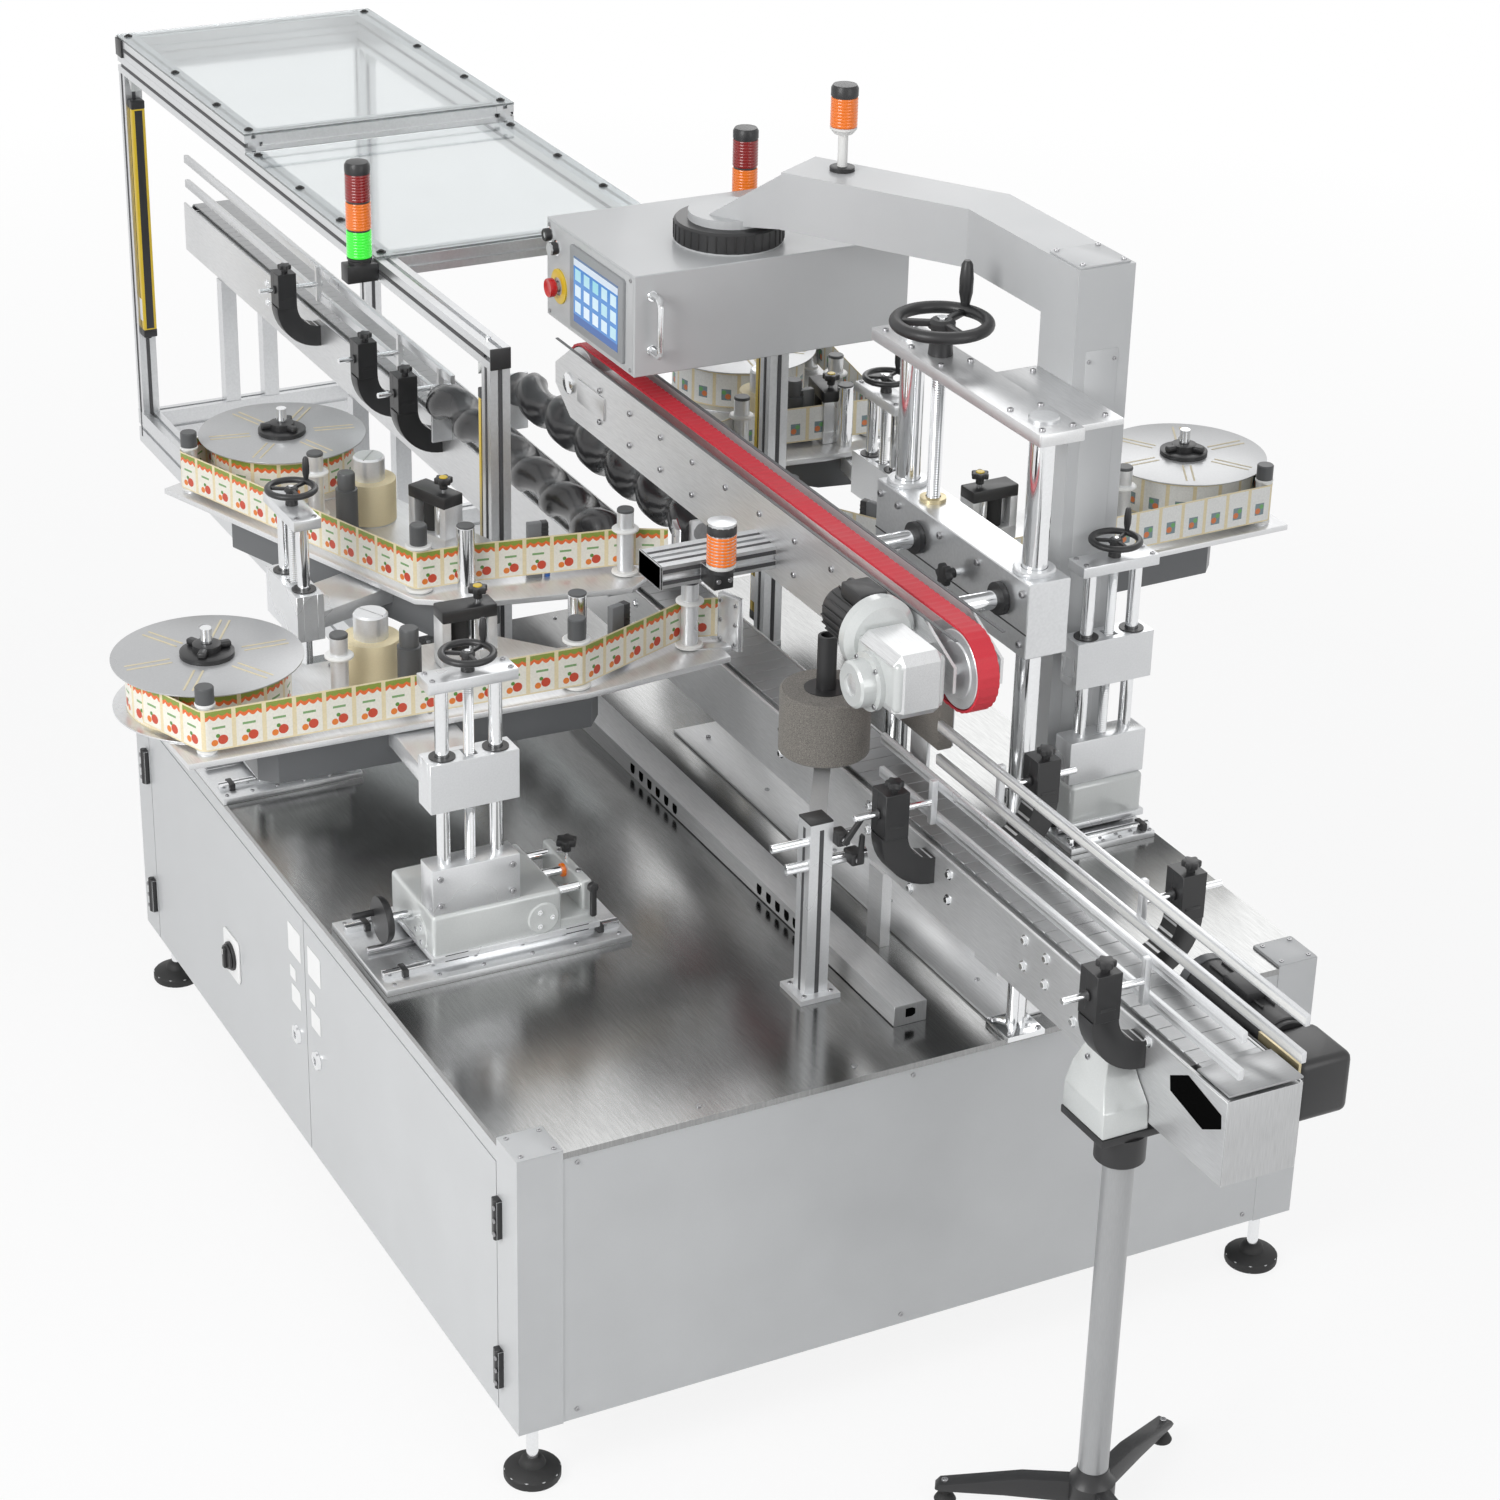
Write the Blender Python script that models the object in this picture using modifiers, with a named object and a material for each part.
"""Inline bottle labelling machine: cabinet, conveyor, four label heads, top belt and guard.

Metres, +Z up, +X along the conveyor towards its outfeed, -Y the operator's side.
"""
import math

import bmesh
import bpy
from mathutils import Matrix, Vector

for leftover in list(bpy.data.objects):
    bpy.data.objects.remove(leftover, do_unlink=True)

# Machine-wide sizes
SEAT = 0.0003
JOIN = 0.001
PANEL_INSET = 0.0015
RUNNING_CLEARANCE = 0.0004
CENTRE_X = 0.7598
CENTRE_Y = -0.1735
ROUND_STEPS = 16
SMALL_STEPS = 8
NOSE_STEPS = 5
BEND_STEPS = 3
SMOOTH_ANGLE_DEG = 35

# Cabinet
CABINET_LENGTH = 1.978
CABINET_DEPTH = 1.600
TABLE_HEIGHT = 0.680
TABLE_THICKNESS = 0.012
BODY_UNDERSIDE = 0.128
POST_WIDTH = 0.084
CORNER_CAP_RISE = 0.004
TOP_RAIL_HEIGHT = 0.030
DOOR_THICKNESS = 0.020
DOOR_GAP = 0.003
HINGE_HEIGHT = 0.075
HINGE_WIDTH = 0.022
HINGE_INSET = 0.100
LOCK_RADIUS = 0.014
LOCK_INSET = 0.052
LOCK_HEIGHT = 0.357
SWITCH_X = -0.421
SWITCH_HEIGHT = 0.338
SWITCH_PLATE = 0.070
FOOT_RADIUS = 0.050
FOOT_PAD_HEIGHT = 0.028
FOOT_STUD_RADIUS = 0.010
FOOT_NUT_RADIUS = 0.018
FOOT_NUT_HEIGHT = 0.020
FOOT_INSET = 0.045

# Conveyor
LANE_Y = 0.168
LANE_WIDTH = 0.140
CHAIN_TOP_RISE = 0.290
CHAIN_TOP = TABLE_HEIGHT + CHAIN_TOP_RISE
CHAIN_THICKNESS = 0.009
CHAIN_WIDTH = 0.116
CONVEYOR_START = -3.240
CONVEYOR_END = 1.690
SIDE_PLATE = 0.004
SIDE_PLATE_TOP_RISE = 0.282
SIDE_PLATE_TOP = TABLE_HEIGHT + SIDE_PLATE_TOP_RISE
SIDE_PLATE_BOTTOM_RISE = 0.152
SIDE_PLATE_BOTTOM = TABLE_HEIGHT + SIDE_PLATE_BOTTOM_RISE
DRIVE_END_LENGTH = 0.300
DRIVE_END_BOTTOM_RISE = 0.125
DRIVE_END_BOTTOM = TABLE_HEIGHT + DRIVE_END_BOTTOM_RISE
SPROCKET_RADIUS = 0.052
BEAM_START = -0.500
BEAM_END = 0.870
BEAM_CENTRE_Y = 0.008
BEAM_WIDTH = 0.065
BEAM_HEIGHT = 0.040
CONVEYOR_LEG_X = 0.965
CONVEYOR_LEG_RADIUS = 0.017
CONVEYOR_POST_X = 0.590
BASE_PLATE = 0.075
BASE_PLATE_THICKNESS = 0.010
RAIL_THICKNESS = 0.010
RAIL_DEPTH = 0.020
RAIL_LOW_RISE = 0.325
RAIL_LOW = TABLE_HEIGHT + RAIL_LOW_RISE
RAIL_HIGH_RISE = 0.392
RAIL_HIGH = TABLE_HEIGHT + RAIL_HIGH_RISE
RAIL_START = 0.560
RAIL_END = 1.700
RAIL_GAP = 0.108
STAND_X = 1.450
STAND_Y = 0.070
STAND_COLUMN_RADIUS = 0.024
STAND_HUB_HEIGHT = 0.075
STAND_LEG_REACH = 0.270

# Guard of slotted aluminium profile
PROFILE = 0.045
BOTTOM_PROFILE_HEIGHT = 0.090
GUARD_START = -2.990
GUARD_STEP = -2.050
GUARD_END = -0.630
GUARD_FRONT = -0.138
GUARD_BACK = 0.540
GUARD_CROSS = -1.280
GUARD_BOTTOM = 0.500
GUARD_TOP_RISE = 0.820
GUARD_TOP = TABLE_HEIGHT + GUARD_TOP_RISE
GUARD_LOW_TOP_RISE = 0.775
GUARD_LOW_TOP = TABLE_HEIGHT + GUARD_LOW_TOP_RISE
PANEL_THICKNESS = 0.005

# Gantry and control box
GANTRY_X = 0.250
GANTRY_Y = 0.686
GANTRY_WIDTH = 0.122
GANTRY_TOP_RISE = 1.130
GANTRY_TOP = TABLE_HEIGHT + GANTRY_TOP_RISE
GANTRY_ARM_HEIGHT = 0.118
GANTRY_ELBOW_X = -0.111
PIVOT_X = -0.590
PIVOT_Y = 0.370
PIVOT_RADIUS = 0.111
PIVOT_HEIGHT = 0.045
BOX_X = -0.662
BOX_Y = 0.405
BOX_WIDTH = 0.416
BOX_LENGTH = 0.620
BOX_HEIGHT = 0.210
BOX_TOP_RISE = 0.950
BOX_TOP = TABLE_HEIGHT + BOX_TOP_RISE

# Top hold-down belt and its lift
LIFT_Y = 0.470
LIFT_COLUMN_RADIUS = 0.024
LIFT_LEFT_X = -0.006
LIFT_RIGHT_X = 0.464
LIFT_SCREW_X = 0.093
LIFT_SCREW_RADIUS = 0.014
LIFT_PLATE_TOP_RISE = 0.920
LIFT_PLATE_TOP = TABLE_HEIGHT + LIFT_PLATE_TOP_RISE
LIFT_PLATE_THICKNESS = 0.024
LIFT_BLOCK_TOP_RISE = 0.625
LIFT_BLOCK_TOP = TABLE_HEIGHT + LIFT_BLOCK_TOP_RISE
LIFT_BLOCK_HEIGHT = 0.150
LIFT_BLOCK_DEPTH = 0.090
BELT_FAR_X = -0.880
BELT_NEAR_X = 0.735
BELT_CENTRE_Z_RISE = 0.605
BELT_CENTRE_Z = TABLE_HEIGHT + BELT_CENTRE_Z_RISE
BELT_PULLEY_RADIUS = 0.072
BELT_WIDTH = 0.042
BELT_THICKNESS = 0.006
BELT_SIDE_PLATE = 0.006
GANTRY_WHEEL_RADIUS = 0.100

# Label heads
WEB_WIDTH = 0.080
WEB_THICKNESS = 0.001
WEB_RUN = 0.710
DECK_TOP_RISE = 0.380
DECK_TOP = TABLE_HEIGHT + DECK_TOP_RISE
DECK_THICKNESS = 0.012
HOUSING_HEIGHT = 0.080
REEL_RADIUS = 0.175
LABEL_ROLL_RADIUS = 0.150
FLANGE_THICKNESS = 0.003
ROLLER_RADIUS = 0.017
ROLLER_FLANGE_RADIUS = 0.027
ROLLER_FLANGE = 0.006
COLUMN_RISE = 0.197
COLUMN_HEIGHT = DECK_TOP + COLUMN_RISE
COLUMN_FOOT_RISE = 0.150
COLUMN_FOOT = TABLE_HEIGHT + COLUMN_FOOT_RISE
COLUMN_WIDTH = 0.170
COLUMN_ROD_RADIUS = 0.0125
COLUMN_ROD_SPACING = 0.102
COLUMN_DEPTH = 0.056
HEAD_SCREW_RADIUS = 0.010
CLAMP_BLOCK_BOTTOM_RISE = 0.323
CLAMP_BLOCK_BOTTOM = TABLE_HEIGHT + CLAMP_BLOCK_BOTTOM_RISE
CLAMP_BLOCK_HEIGHT = 0.096
HEAD_WHEEL_RADIUS = 0.052

UPRIGHT = Matrix.Identity(4)
ALONG_X = Matrix(((0, 0, 1, 0), (1, 0, 0, 0), (0, 1, 0, 0), (0, 0, 0, 1)))
ALONG_Y = Matrix(((0, 1, 0, 0), (0, 0, 1, 0), (1, 0, 0, 0), (0, 0, 0, 1)))
FACING_Y = Matrix(((1, 0, 0, 0), (0, 0, -1, 0), (0, 1, 0, 0), (0, 0, 0, 1)))
QUARTER_TURN = math.pi / 2
HALF_TURN = math.pi
FULL_TURN = 2 * math.pi

# Colours: base colour, roughness, metallic
FINISHES = {
    "painted_grey": ((0.80, 0.81, 0.82), 0.40, 0.0),
    "stainless": ((0.55, 0.55, 0.56), 0.30, 1.0),
    "aluminium": ((0.78, 0.79, 0.80), 0.35, 1.0),
    "chrome": ((0.85, 0.86, 0.88), 0.08, 1.0),
    "black_plastic": ((0.02, 0.02, 0.02), 0.45, 0.0),
    "dark_grey": ((0.12, 0.12, 0.13), 0.45, 0.0),
    "label_paper": ((0.90, 0.82, 0.62), 0.60, 0.0),
    "red_rubber": ((0.80, 0.08, 0.10), 0.55, 0.0),
    "foam": ((0.20, 0.16, 0.12), 0.95, 0.0),
    "clear_panel": ((0.90, 0.92, 0.93), 0.05, 0.0),
    "yellow_paint": ((0.90, 0.68, 0.05), 0.40, 0.0),
    "lamp_orange": ((0.85, 0.30, 0.03), 0.25, 0.0),
    "screen_glass": ((0.05, 0.20, 0.60), 0.15, 0.0),
    "stop_red": ((0.80, 0.02, 0.02), 0.35, 0.0),
    "acetal_white": ((0.85, 0.85, 0.84), 0.40, 0.0),
}

machine = bpy.data.collections.new("labelling_machine")
bpy.context.scene.collection.children.link(machine)


def finish_named(name):
    """Principled material for one of the listed finishes."""
    if name in bpy.data.materials:
        return bpy.data.materials[name]
    colour, roughness, metallic = FINISHES[name]
    material = bpy.data.materials.new(name)
    material.use_nodes = True
    shader = material.node_tree.nodes["Principled BSDF"]
    shader.inputs["Base Color"].default_value = (*colour, 1)
    shader.inputs["Roughness"].default_value = roughness
    shader.inputs["Metallic"].default_value = metallic
    return material


def circle(radius, centre=(0, 0), steps=ROUND_STEPS, start=0.0, sweep=FULL_TURN):
    """Points of a circle, or of an arc with both ends when the sweep is less."""
    count = steps if sweep == FULL_TURN else steps + 1
    turns = [start + sweep * index / steps for index in range(count)]
    return [(centre[0] + radius * math.cos(a), centre[1] + radius * math.sin(a)) for a in turns]


def rectangle(width, height, centre=(0, 0)):
    """Corner points of an upright rectangle."""
    x, y = width / 2, height / 2
    return [(centre[0] + i, centre[1] + j) for i, j in ((-x, -y), (x, -y), (x, y), (-x, y))]


def rounded(points, radius, steps=BEND_STEPS):
    """The outline with an arc of the given radius at each corner."""
    outline = []
    for index, corner in enumerate(points):
        here = Vector(corner)
        back = (Vector(points[index - 1]) - here)
        ahead = (Vector(points[(index + 1) % len(points)]) - here)
        half = back.angle(ahead) / 2
        reach = min(radius / math.tan(half), back.length / 2, ahead.length / 2)
        bend = reach * math.tan(half)
        middle = here + (back.normalized() + ahead.normalized()).normalized() * (bend / math.sin(half))
        first = here + back.normalized() * reach - middle
        last = here + ahead.normalized() * reach - middle
        sweep = first.angle_signed(last)
        for step in range(steps + 1):
            point = middle + Matrix.Rotation(-sweep * step / steps, 2) @ first
            outline.append((point.x, point.y))
    return outline


class Piece:
    """A named sub-part: overlapping bodies united into one, its origin on the pivot."""

    def __init__(self, name, finish, pivot=(0, 0, 0), frame=UPRIGHT):
        self.name = name
        self.finish = finish
        self.frame = frame
        self.pivot = frame @ Vector(pivot)
        self.bodies = []
        self.cutters = []

    def keep(self, shape, placing, cut=False):
        """Places a closed shape among the bodies, or among those that cut them."""
        bmesh.ops.transform(shape, matrix=self.frame @ placing, verts=shape.verts)
        bmesh.ops.recalc_face_normals(shape, faces=shape.faces)
        (self.cutters if cut else self.bodies).append(shape)

    def take(self, source, placing, cut=False):
        """Keeps the evaluated mesh of a helper object, then removes the helper."""
        machine.objects.link(source)
        evaluated = source.evaluated_get(bpy.context.evaluated_depsgraph_get())
        mesh = bpy.data.meshes.new_from_object(evaluated)
        shape = bmesh.new()
        shape.from_mesh(mesh)
        bmesh.ops.remove_doubles(shape, verts=shape.verts, dist=SEAT / 10)
        self.keep(shape, placing, cut)
        bpy.data.objects.remove(source, do_unlink=True)
        bpy.data.meshes.remove(mesh)

    def block(self, size, centre, turn=0.0, bevel=0.0, cut=False):
        """Box of the given size, turned about Z, its edges bevelled on request."""
        shape = bmesh.new()
        bmesh.ops.create_cube(shape, size=1)
        bmesh.ops.scale(shape, vec=size, verts=shape.verts)
        if bevel:
            bmesh.ops.bevel(shape, geom=shape.edges, offset=bevel, segments=1, affect="EDGES")
        self.keep(shape, Matrix.Translation(centre) @ Matrix.Rotation(turn, 4, "Z"), cut)

    def rod(self, radius, length, centre, axis=UPRIGHT, steps=ROUND_STEPS, tip=None, cut=False):
        """Cylinder about its centre, or a cone when its far end has its own radius."""
        shape = bmesh.new()
        end = radius if tip is None else tip
        bmesh.ops.create_cone(
            shape, cap_ends=True, segments=steps, radius1=radius, radius2=end, depth=length)
        self.keep(shape, Matrix.Translation(centre) @ axis, cut)

    def turned(self, profile, centre, axis=UPRIGHT, steps=ROUND_STEPS, ring=False):
        """Revolves (radius, height) points, given from the top down the outer side."""
        mesh = bpy.data.meshes.new("profile")
        edges = [(index, index + 1) for index in range(len(profile) - 1)]
        if ring:
            edges.append((len(profile) - 1, 0))
        mesh.from_pydata([(radius, 0, height) for radius, height in profile], edges, [])
        lathe = bpy.data.objects.new("lathe", mesh)
        screw = lathe.modifiers.new("Screw", "SCREW")
        screw.steps = screw.render_steps = steps
        screw.use_merge_vertices = True
        screw.merge_threshold = SEAT / 10
        self.take(lathe, Matrix.Translation(centre) @ axis)

    def slab(self, outlines, thickness, centre, axis=UPRIGHT, cut=False):
        """Extrudes an outline; any further outlines inside it become holes."""
        curve = bpy.data.curves.new("outline", "CURVE")
        curve.dimensions = "2D"
        curve.fill_mode = "BOTH"
        curve.extrude = thickness / 2
        for outline in outlines:
            spline = curve.splines.new("POLY")
            spline.points.add(len(outline) - 1)
            for point, (x, y) in zip(spline.points, outline):
                point.co = (x, y, 0, 1)
            spline.use_cyclic_u = True
        self.take(bpy.data.objects.new("outline", curve), Matrix.Translation(centre) @ axis, cut)

    def tube(self, radius, route):
        """Round bar along a route of points, with closed ends."""
        curve = bpy.data.curves.new("route", "CURVE")
        curve.dimensions = "3D"
        curve.bevel_depth = radius
        curve.bevel_resolution = 2
        curve.use_fill_caps = True
        spline = curve.splines.new("POLY")
        spline.points.add(len(route) - 1)
        for point, place in zip(spline.points, route):
            point.co = (*place, 1)
        self.take(bpy.data.objects.new("route", curve), UPRIGHT)

    def gathered(self, shapes):
        """One helper object that holds all the given shapes."""
        whole = bmesh.new()
        for shape in shapes:
            mesh = bpy.data.meshes.new("body")
            shape.to_mesh(mesh)
            shape.free()
            whole.from_mesh(mesh)
            bpy.data.meshes.remove(mesh)
        mesh = bpy.data.meshes.new(self.name)
        whole.to_mesh(mesh)
        whole.free()
        helper = bpy.data.objects.new("helper", mesh)
        machine.objects.link(helper)
        return helper

    def finished(self):
        """Unites the bodies, cuts them and leaves the named object."""
        base = self.gathered(self.bodies[:1])
        helpers = [base]
        for operation, shapes in (("UNION", self.bodies[1:]), ("DIFFERENCE", self.cutters)):
            if shapes:
                helpers.append(self.gathered(shapes))
                join = base.modifiers.new(operation, "BOOLEAN")
                join.operation = operation
                join.object = helpers[-1]
                join.use_self = True
        evaluated = base.evaluated_get(bpy.context.evaluated_depsgraph_get())
        mesh = bpy.data.meshes.new_from_object(evaluated)
        for helper in helpers:
            bpy.data.objects.remove(helper, do_unlink=True)
        mesh.transform(Matrix.Translation(-self.pivot))
        mesh.name = self.name
        mesh.shade_smooth()
        mesh.set_sharp_from_angle(angle=math.radians(SMOOTH_ANGLE_DEG))
        mesh.materials.clear()
        mesh.materials.append(finish_named(self.finish))
        thing = bpy.data.objects.new(self.name, mesh)
        thing.location = self.pivot + Vector((CENTRE_X, CENTRE_Y, 0))
        machine.objects.link(thing)


# Cabinet with corner posts, door rail, hinge blocks and levelling feet
HALF_LENGTH = CABINET_LENGTH / 2
HALF_DEPTH = CABINET_DEPTH / 2
CORE_TOP = TABLE_HEIGHT - TABLE_THICKNESS - SEAT
CORE_LOW = BODY_UNDERSIDE + PANEL_INSET
CORE_HEIGHT = CORE_TOP - CORE_LOW
DOOR_FRONT = -HALF_DEPTH
DOOR_BACK = DOOR_FRONT + DOOR_THICKNESS
DOOR_SPAN = CABINET_LENGTH - 2 * POST_WIDTH
DOOR_TOP = CORE_TOP - TOP_RAIL_HEIGHT - DOOR_GAP
DOOR_HEIGHT = DOOR_TOP - BODY_UNDERSIDE
DOOR_Z = (DOOR_TOP + BODY_UNDERSIDE) / 2
DOOR_Y = DOOR_FRONT + DOOR_THICKNESS / 2
DOOR_WIDTH = (DOOR_SPAN - 3 * DOOR_GAP) / 2
HINGE_AXIS_X = HALF_LENGTH - POST_WIDTH
HINGE_HEIGHTS = (BODY_UNDERSIDE + HINGE_INSET, DOOR_TOP - HINGE_INSET)
CORNERS = [(i, j) for i in (-1, 1) for j in (-1, 1)]


def notched_outline(half_x, half_y, front, notch):
    """Plan of the cabinet between its corner posts."""
    x, y, n = half_x, half_y, notch
    outline = [
        (x - n, front), (x - n, -y + n), (x, -y + n), (x, y - n), (x - n, y - n), (x - n, y),
        (-x + n, y), (-x + n, y - n), (-x, y - n), (-x, -y + n), (-x + n, -y + n), (-x + n, front),
    ]
    return outline


BODY_WALL = 0.003
BAY_FRAME = 0.020
BAY_LOW = CORE_LOW + BODY_WALL
BAY_HEIGHT = CORE_TOP - BODY_WALL - BAY_LOW
BAY_FRONT = DOOR_BACK + BODY_WALL + SEAT
DOORWAY_TOP = DOOR_TOP - BAY_FRAME
DOORWAY_LOW = BODY_UNDERSIDE + BAY_FRAME
cabinet = Piece("cabinet_body", "painted_grey")
cabinet.slab(
    [notched_outline(HALF_LENGTH - PANEL_INSET, HALF_DEPTH - PANEL_INSET, DOOR_BACK + SEAT,
                     POST_WIDTH - PANEL_INSET - JOIN)],
    CORE_HEIGHT, (0, 0, CORE_LOW + CORE_HEIGHT / 2))
POST_HEIGHT = TABLE_HEIGHT + CORNER_CAP_RISE - BODY_UNDERSIDE
foot_profile = [
    (0, BODY_UNDERSIDE + JOIN), (FOOT_NUT_RADIUS, BODY_UNDERSIDE + JOIN),
    (FOOT_NUT_RADIUS, BODY_UNDERSIDE - FOOT_NUT_HEIGHT), (FOOT_STUD_RADIUS, BODY_UNDERSIDE - FOOT_NUT_HEIGHT),
    (FOOT_STUD_RADIUS, FOOT_PAD_HEIGHT * 1.4), (FOOT_STUD_RADIUS * 1.8, FOOT_PAD_HEIGHT),
    (FOOT_RADIUS, FOOT_PAD_HEIGHT * 0.6), (FOOT_RADIUS, 0), (0, 0),
]
for i, j in CORNERS:
    cabinet.block(
        (POST_WIDTH, POST_WIDTH, POST_HEIGHT),
        (i * (HALF_LENGTH - POST_WIDTH / 2), j * (HALF_DEPTH - POST_WIDTH / 2),
         BODY_UNDERSIDE + POST_HEIGHT / 2))
    cabinet.turned(foot_profile, (i * (HALF_LENGTH - FOOT_INSET), j * (HALF_DEPTH - FOOT_INSET), 0),
                   steps=SMALL_STEPS + 2)
cabinet.block(
    (DOOR_SPAN + 2 * JOIN, DOOR_THICKNESS + JOIN, TOP_RAIL_HEIGHT - JOIN),
    (0, DOOR_Y + PANEL_INSET, CORE_TOP - JOIN - TOP_RAIL_HEIGHT / 2))
for side in (-1, 1):
    for height in HINGE_HEIGHTS:
        cabinet.block(
            (HINGE_WIDTH, HINGE_WIDTH / 2 + JOIN, HINGE_HEIGHT),
            (side * (HINGE_AXIS_X + HINGE_WIDTH * 0.6), DOOR_FRONT - HINGE_WIDTH / 4 + JOIN / 2, height))
cabinet.slab(
    [notched_outline(HALF_LENGTH - PANEL_INSET - BODY_WALL, HALF_DEPTH - PANEL_INSET - BODY_WALL, BAY_FRONT, POST_WIDTH)],
    BAY_HEIGHT, (0, 0, BAY_LOW + BAY_HEIGHT / 2), cut=True)
cabinet.block(
    (DOOR_SPAN - 2 * BAY_FRAME, 2 * BAY_FRAME, DOORWAY_TOP - DOORWAY_LOW),
    (0, BAY_FRONT, (DOORWAY_TOP + DOORWAY_LOW) / 2), cut=True)
cabinet.finished()

# Doors, quarter-turn locks and main switch
for side, tag in ((-1, "far"), (1, "near")):
    hinge_x = side * HINGE_AXIS_X
    door_x = hinge_x - side * (DOOR_GAP + DOOR_WIDTH / 2)
    lock_x = hinge_x - side * (DOOR_GAP + DOOR_WIDTH - LOCK_INSET)
    lock_bore = LOCK_RADIUS + RUNNING_CLEARANCE
    door = Piece("door_" + tag, "painted_grey", (hinge_x, DOOR_FRONT, BODY_UNDERSIDE))
    holes = [circle(lock_bore, (lock_x - door_x, LOCK_HEIGHT - DOOR_Z))]
    if side < 0:
        holes.append(circle(SWITCH_PLATE / 5 + RUNNING_CLEARANCE, (SWITCH_X - door_x, SWITCH_HEIGHT - DOOR_Z)))
    door.slab([rectangle(DOOR_WIDTH, DOOR_HEIGHT)] + holes, DOOR_THICKNESS - SEAT,
              (door_x, DOOR_Y, DOOR_Z), FACING_Y)
    door.finished()
    lock = Piece("lock_" + tag, "stainless", (lock_x, DOOR_FRONT, LOCK_HEIGHT))
    lock.turned(
        [(0, -LOCK_RADIUS / 2), (LOCK_RADIUS, -LOCK_RADIUS / 2), (LOCK_RADIUS * 1.4, -SEAT),
         (LOCK_RADIUS, -SEAT), (LOCK_RADIUS, DOOR_THICKNESS - SEAT), (0, DOOR_THICKNESS - SEAT)],
        (lock_x, DOOR_FRONT, LOCK_HEIGHT), ALONG_Y)
    lock.finished()

KNOB_RADIUS = SWITCH_PLATE * 0.30
SWITCH_NECK = SWITCH_PLATE / 5
knob = Piece("switch_knob", "black_plastic", (SWITCH_X, DOOR_FRONT, SWITCH_HEIGHT))
knob.turned(
    [(0, -KNOB_RADIUS), (KNOB_RADIUS * 0.8, -KNOB_RADIUS), (KNOB_RADIUS, -SEAT), (SWITCH_NECK, -SEAT),
     (SWITCH_NECK, DOOR_THICKNESS - SEAT), (0, DOOR_THICKNESS - SEAT)],
    (SWITCH_X, DOOR_FRONT, SWITCH_HEIGHT), ALONG_Y)
knob.finished()

# Table plate with the slide bases of the four label heads
SLIDE_PLATE = 0.012
SLIDE_RAIL = 0.014
SLIDE_TOP = TABLE_HEIGHT + SLIDE_PLATE + SLIDE_RAIL
HEADS = {
    "h1": dict(origin=(0.094, -0.993), heading=88.0, side=1, column=(0.335, -0.600), facing=90.0,
               slide=(0.265, -0.550, 0.270, 0.480), casting=(0.330, 0.210, 0.075, 0.068),
               arm=(-0.061, 0.059, -0.008, 0.060)),
    "h2": dict(origin=(-1.088, -0.637), heading=19.5, side=1, column=(-0.490, -0.615), facing=0.0,
               slide=(-0.550, -0.660, 0.270, 0.290), casting=(0.220, 0.200, -0.050, -0.010),
               arm=(-0.061, 0.059, 0.009, 0.060)),
    "h3": dict(origin=(-0.010, 1.340), heading=-88.0, side=-1, column=(0.375, 0.705), facing=-90.0,
               slide=(0.395, 0.695, 0.130, 0.190), casting=(0.175, 0.080, 0.000, 0.000),
               arm=(-0.092, -0.065, 0.0126, 0.060)),
    "h4": dict(origin=(-1.210, 0.930), heading=-9.5, side=-1, column=(-0.560, 0.735), facing=0.0,
               slide=(-0.560, 0.735, 0.190, 0.115), casting=(0.175, 0.080, 0.000, 0.000),
               arm=(-0.2933, -0.0733, -0.045, 0.110)),
}

table = Piece("table_plate", "stainless")
table.slab(
    [notched_outline(HALF_LENGTH, HALF_DEPTH, DOOR_FRONT, POST_WIDTH + SEAT)],
    TABLE_THICKNESS, (0, 0, TABLE_HEIGHT - TABLE_THICKNESS / 2))
for head in HEADS.values():
    x, y, width, depth = head["slide"]
    table.block((width, depth, SLIDE_PLATE + JOIN), (x, y, TABLE_HEIGHT + (SLIDE_PLATE - JOIN) / 2))
    for side in (-1, 1):
        table.block(
            (SLIDE_RAIL, depth * 0.96, SLIDE_RAIL + JOIN),
            (x + side * width * 0.34, y, TABLE_HEIGHT + SLIDE_PLATE + (SLIDE_RAIL - JOIN) / 2))
table.finished()

# Channel beam on the table
BEAM_WALL = BEAM_HEIGHT * 0.12
BEAM_LIP = BEAM_WIDTH * 0.25
beam = Piece("channel_beam", "stainless")
half, lip, wall = BEAM_WIDTH / 2, BEAM_WIDTH / 2 - BEAM_LIP, BEAM_WALL
beam.slab(
    [[(-half, 0), (-lip, 0), (-lip, wall), (-half + wall, wall), (-half + wall, BEAM_HEIGHT - wall),
      (half - wall, BEAM_HEIGHT - wall), (half - wall, wall), (lip, wall), (lip, 0), (half, 0),
      (half, BEAM_HEIGHT), (-half, BEAM_HEIGHT)]],
    BEAM_END - BEAM_START, ((BEAM_END + BEAM_START) / 2, BEAM_CENTRE_Y, TABLE_HEIGHT + SEAT), ALONG_X)
beam.finished()

# Conveyor: side plates, slide bed, cross spacers, end block and legs
PLATE_OFFSET = LANE_WIDTH / 2 - SIDE_PLATE / 2
DRIVE_START = CONVEYOR_END - DRIVE_END_LENGTH
PLATE_INNER = LANE_WIDTH - 2 * SIDE_PLATE + 2 * JOIN
END_BLOCK = 0.030
WINDOW_WIDTH = 0.110
WINDOW_HEIGHT = 0.075
WINDOW_X = CONVEYOR_END - 0.45 * DRIVE_END_LENGTH
WINDOW_Z = (DRIVE_END_BOTTOM + SIDE_PLATE_TOP) / 2
CHAIN_OUTER = SPROCKET_RADIUS + CHAIN_THICKNESS
CHAIN_Z = CHAIN_TOP - CHAIN_OUTER
DRIVE_X = CONVEYOR_END - END_BLOCK - CHAIN_OUTER - RUNNING_CLEARANCE
TAIL_X = CONVEYOR_START + CHAIN_OUTER
BED_HEIGHT = 0.024
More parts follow.
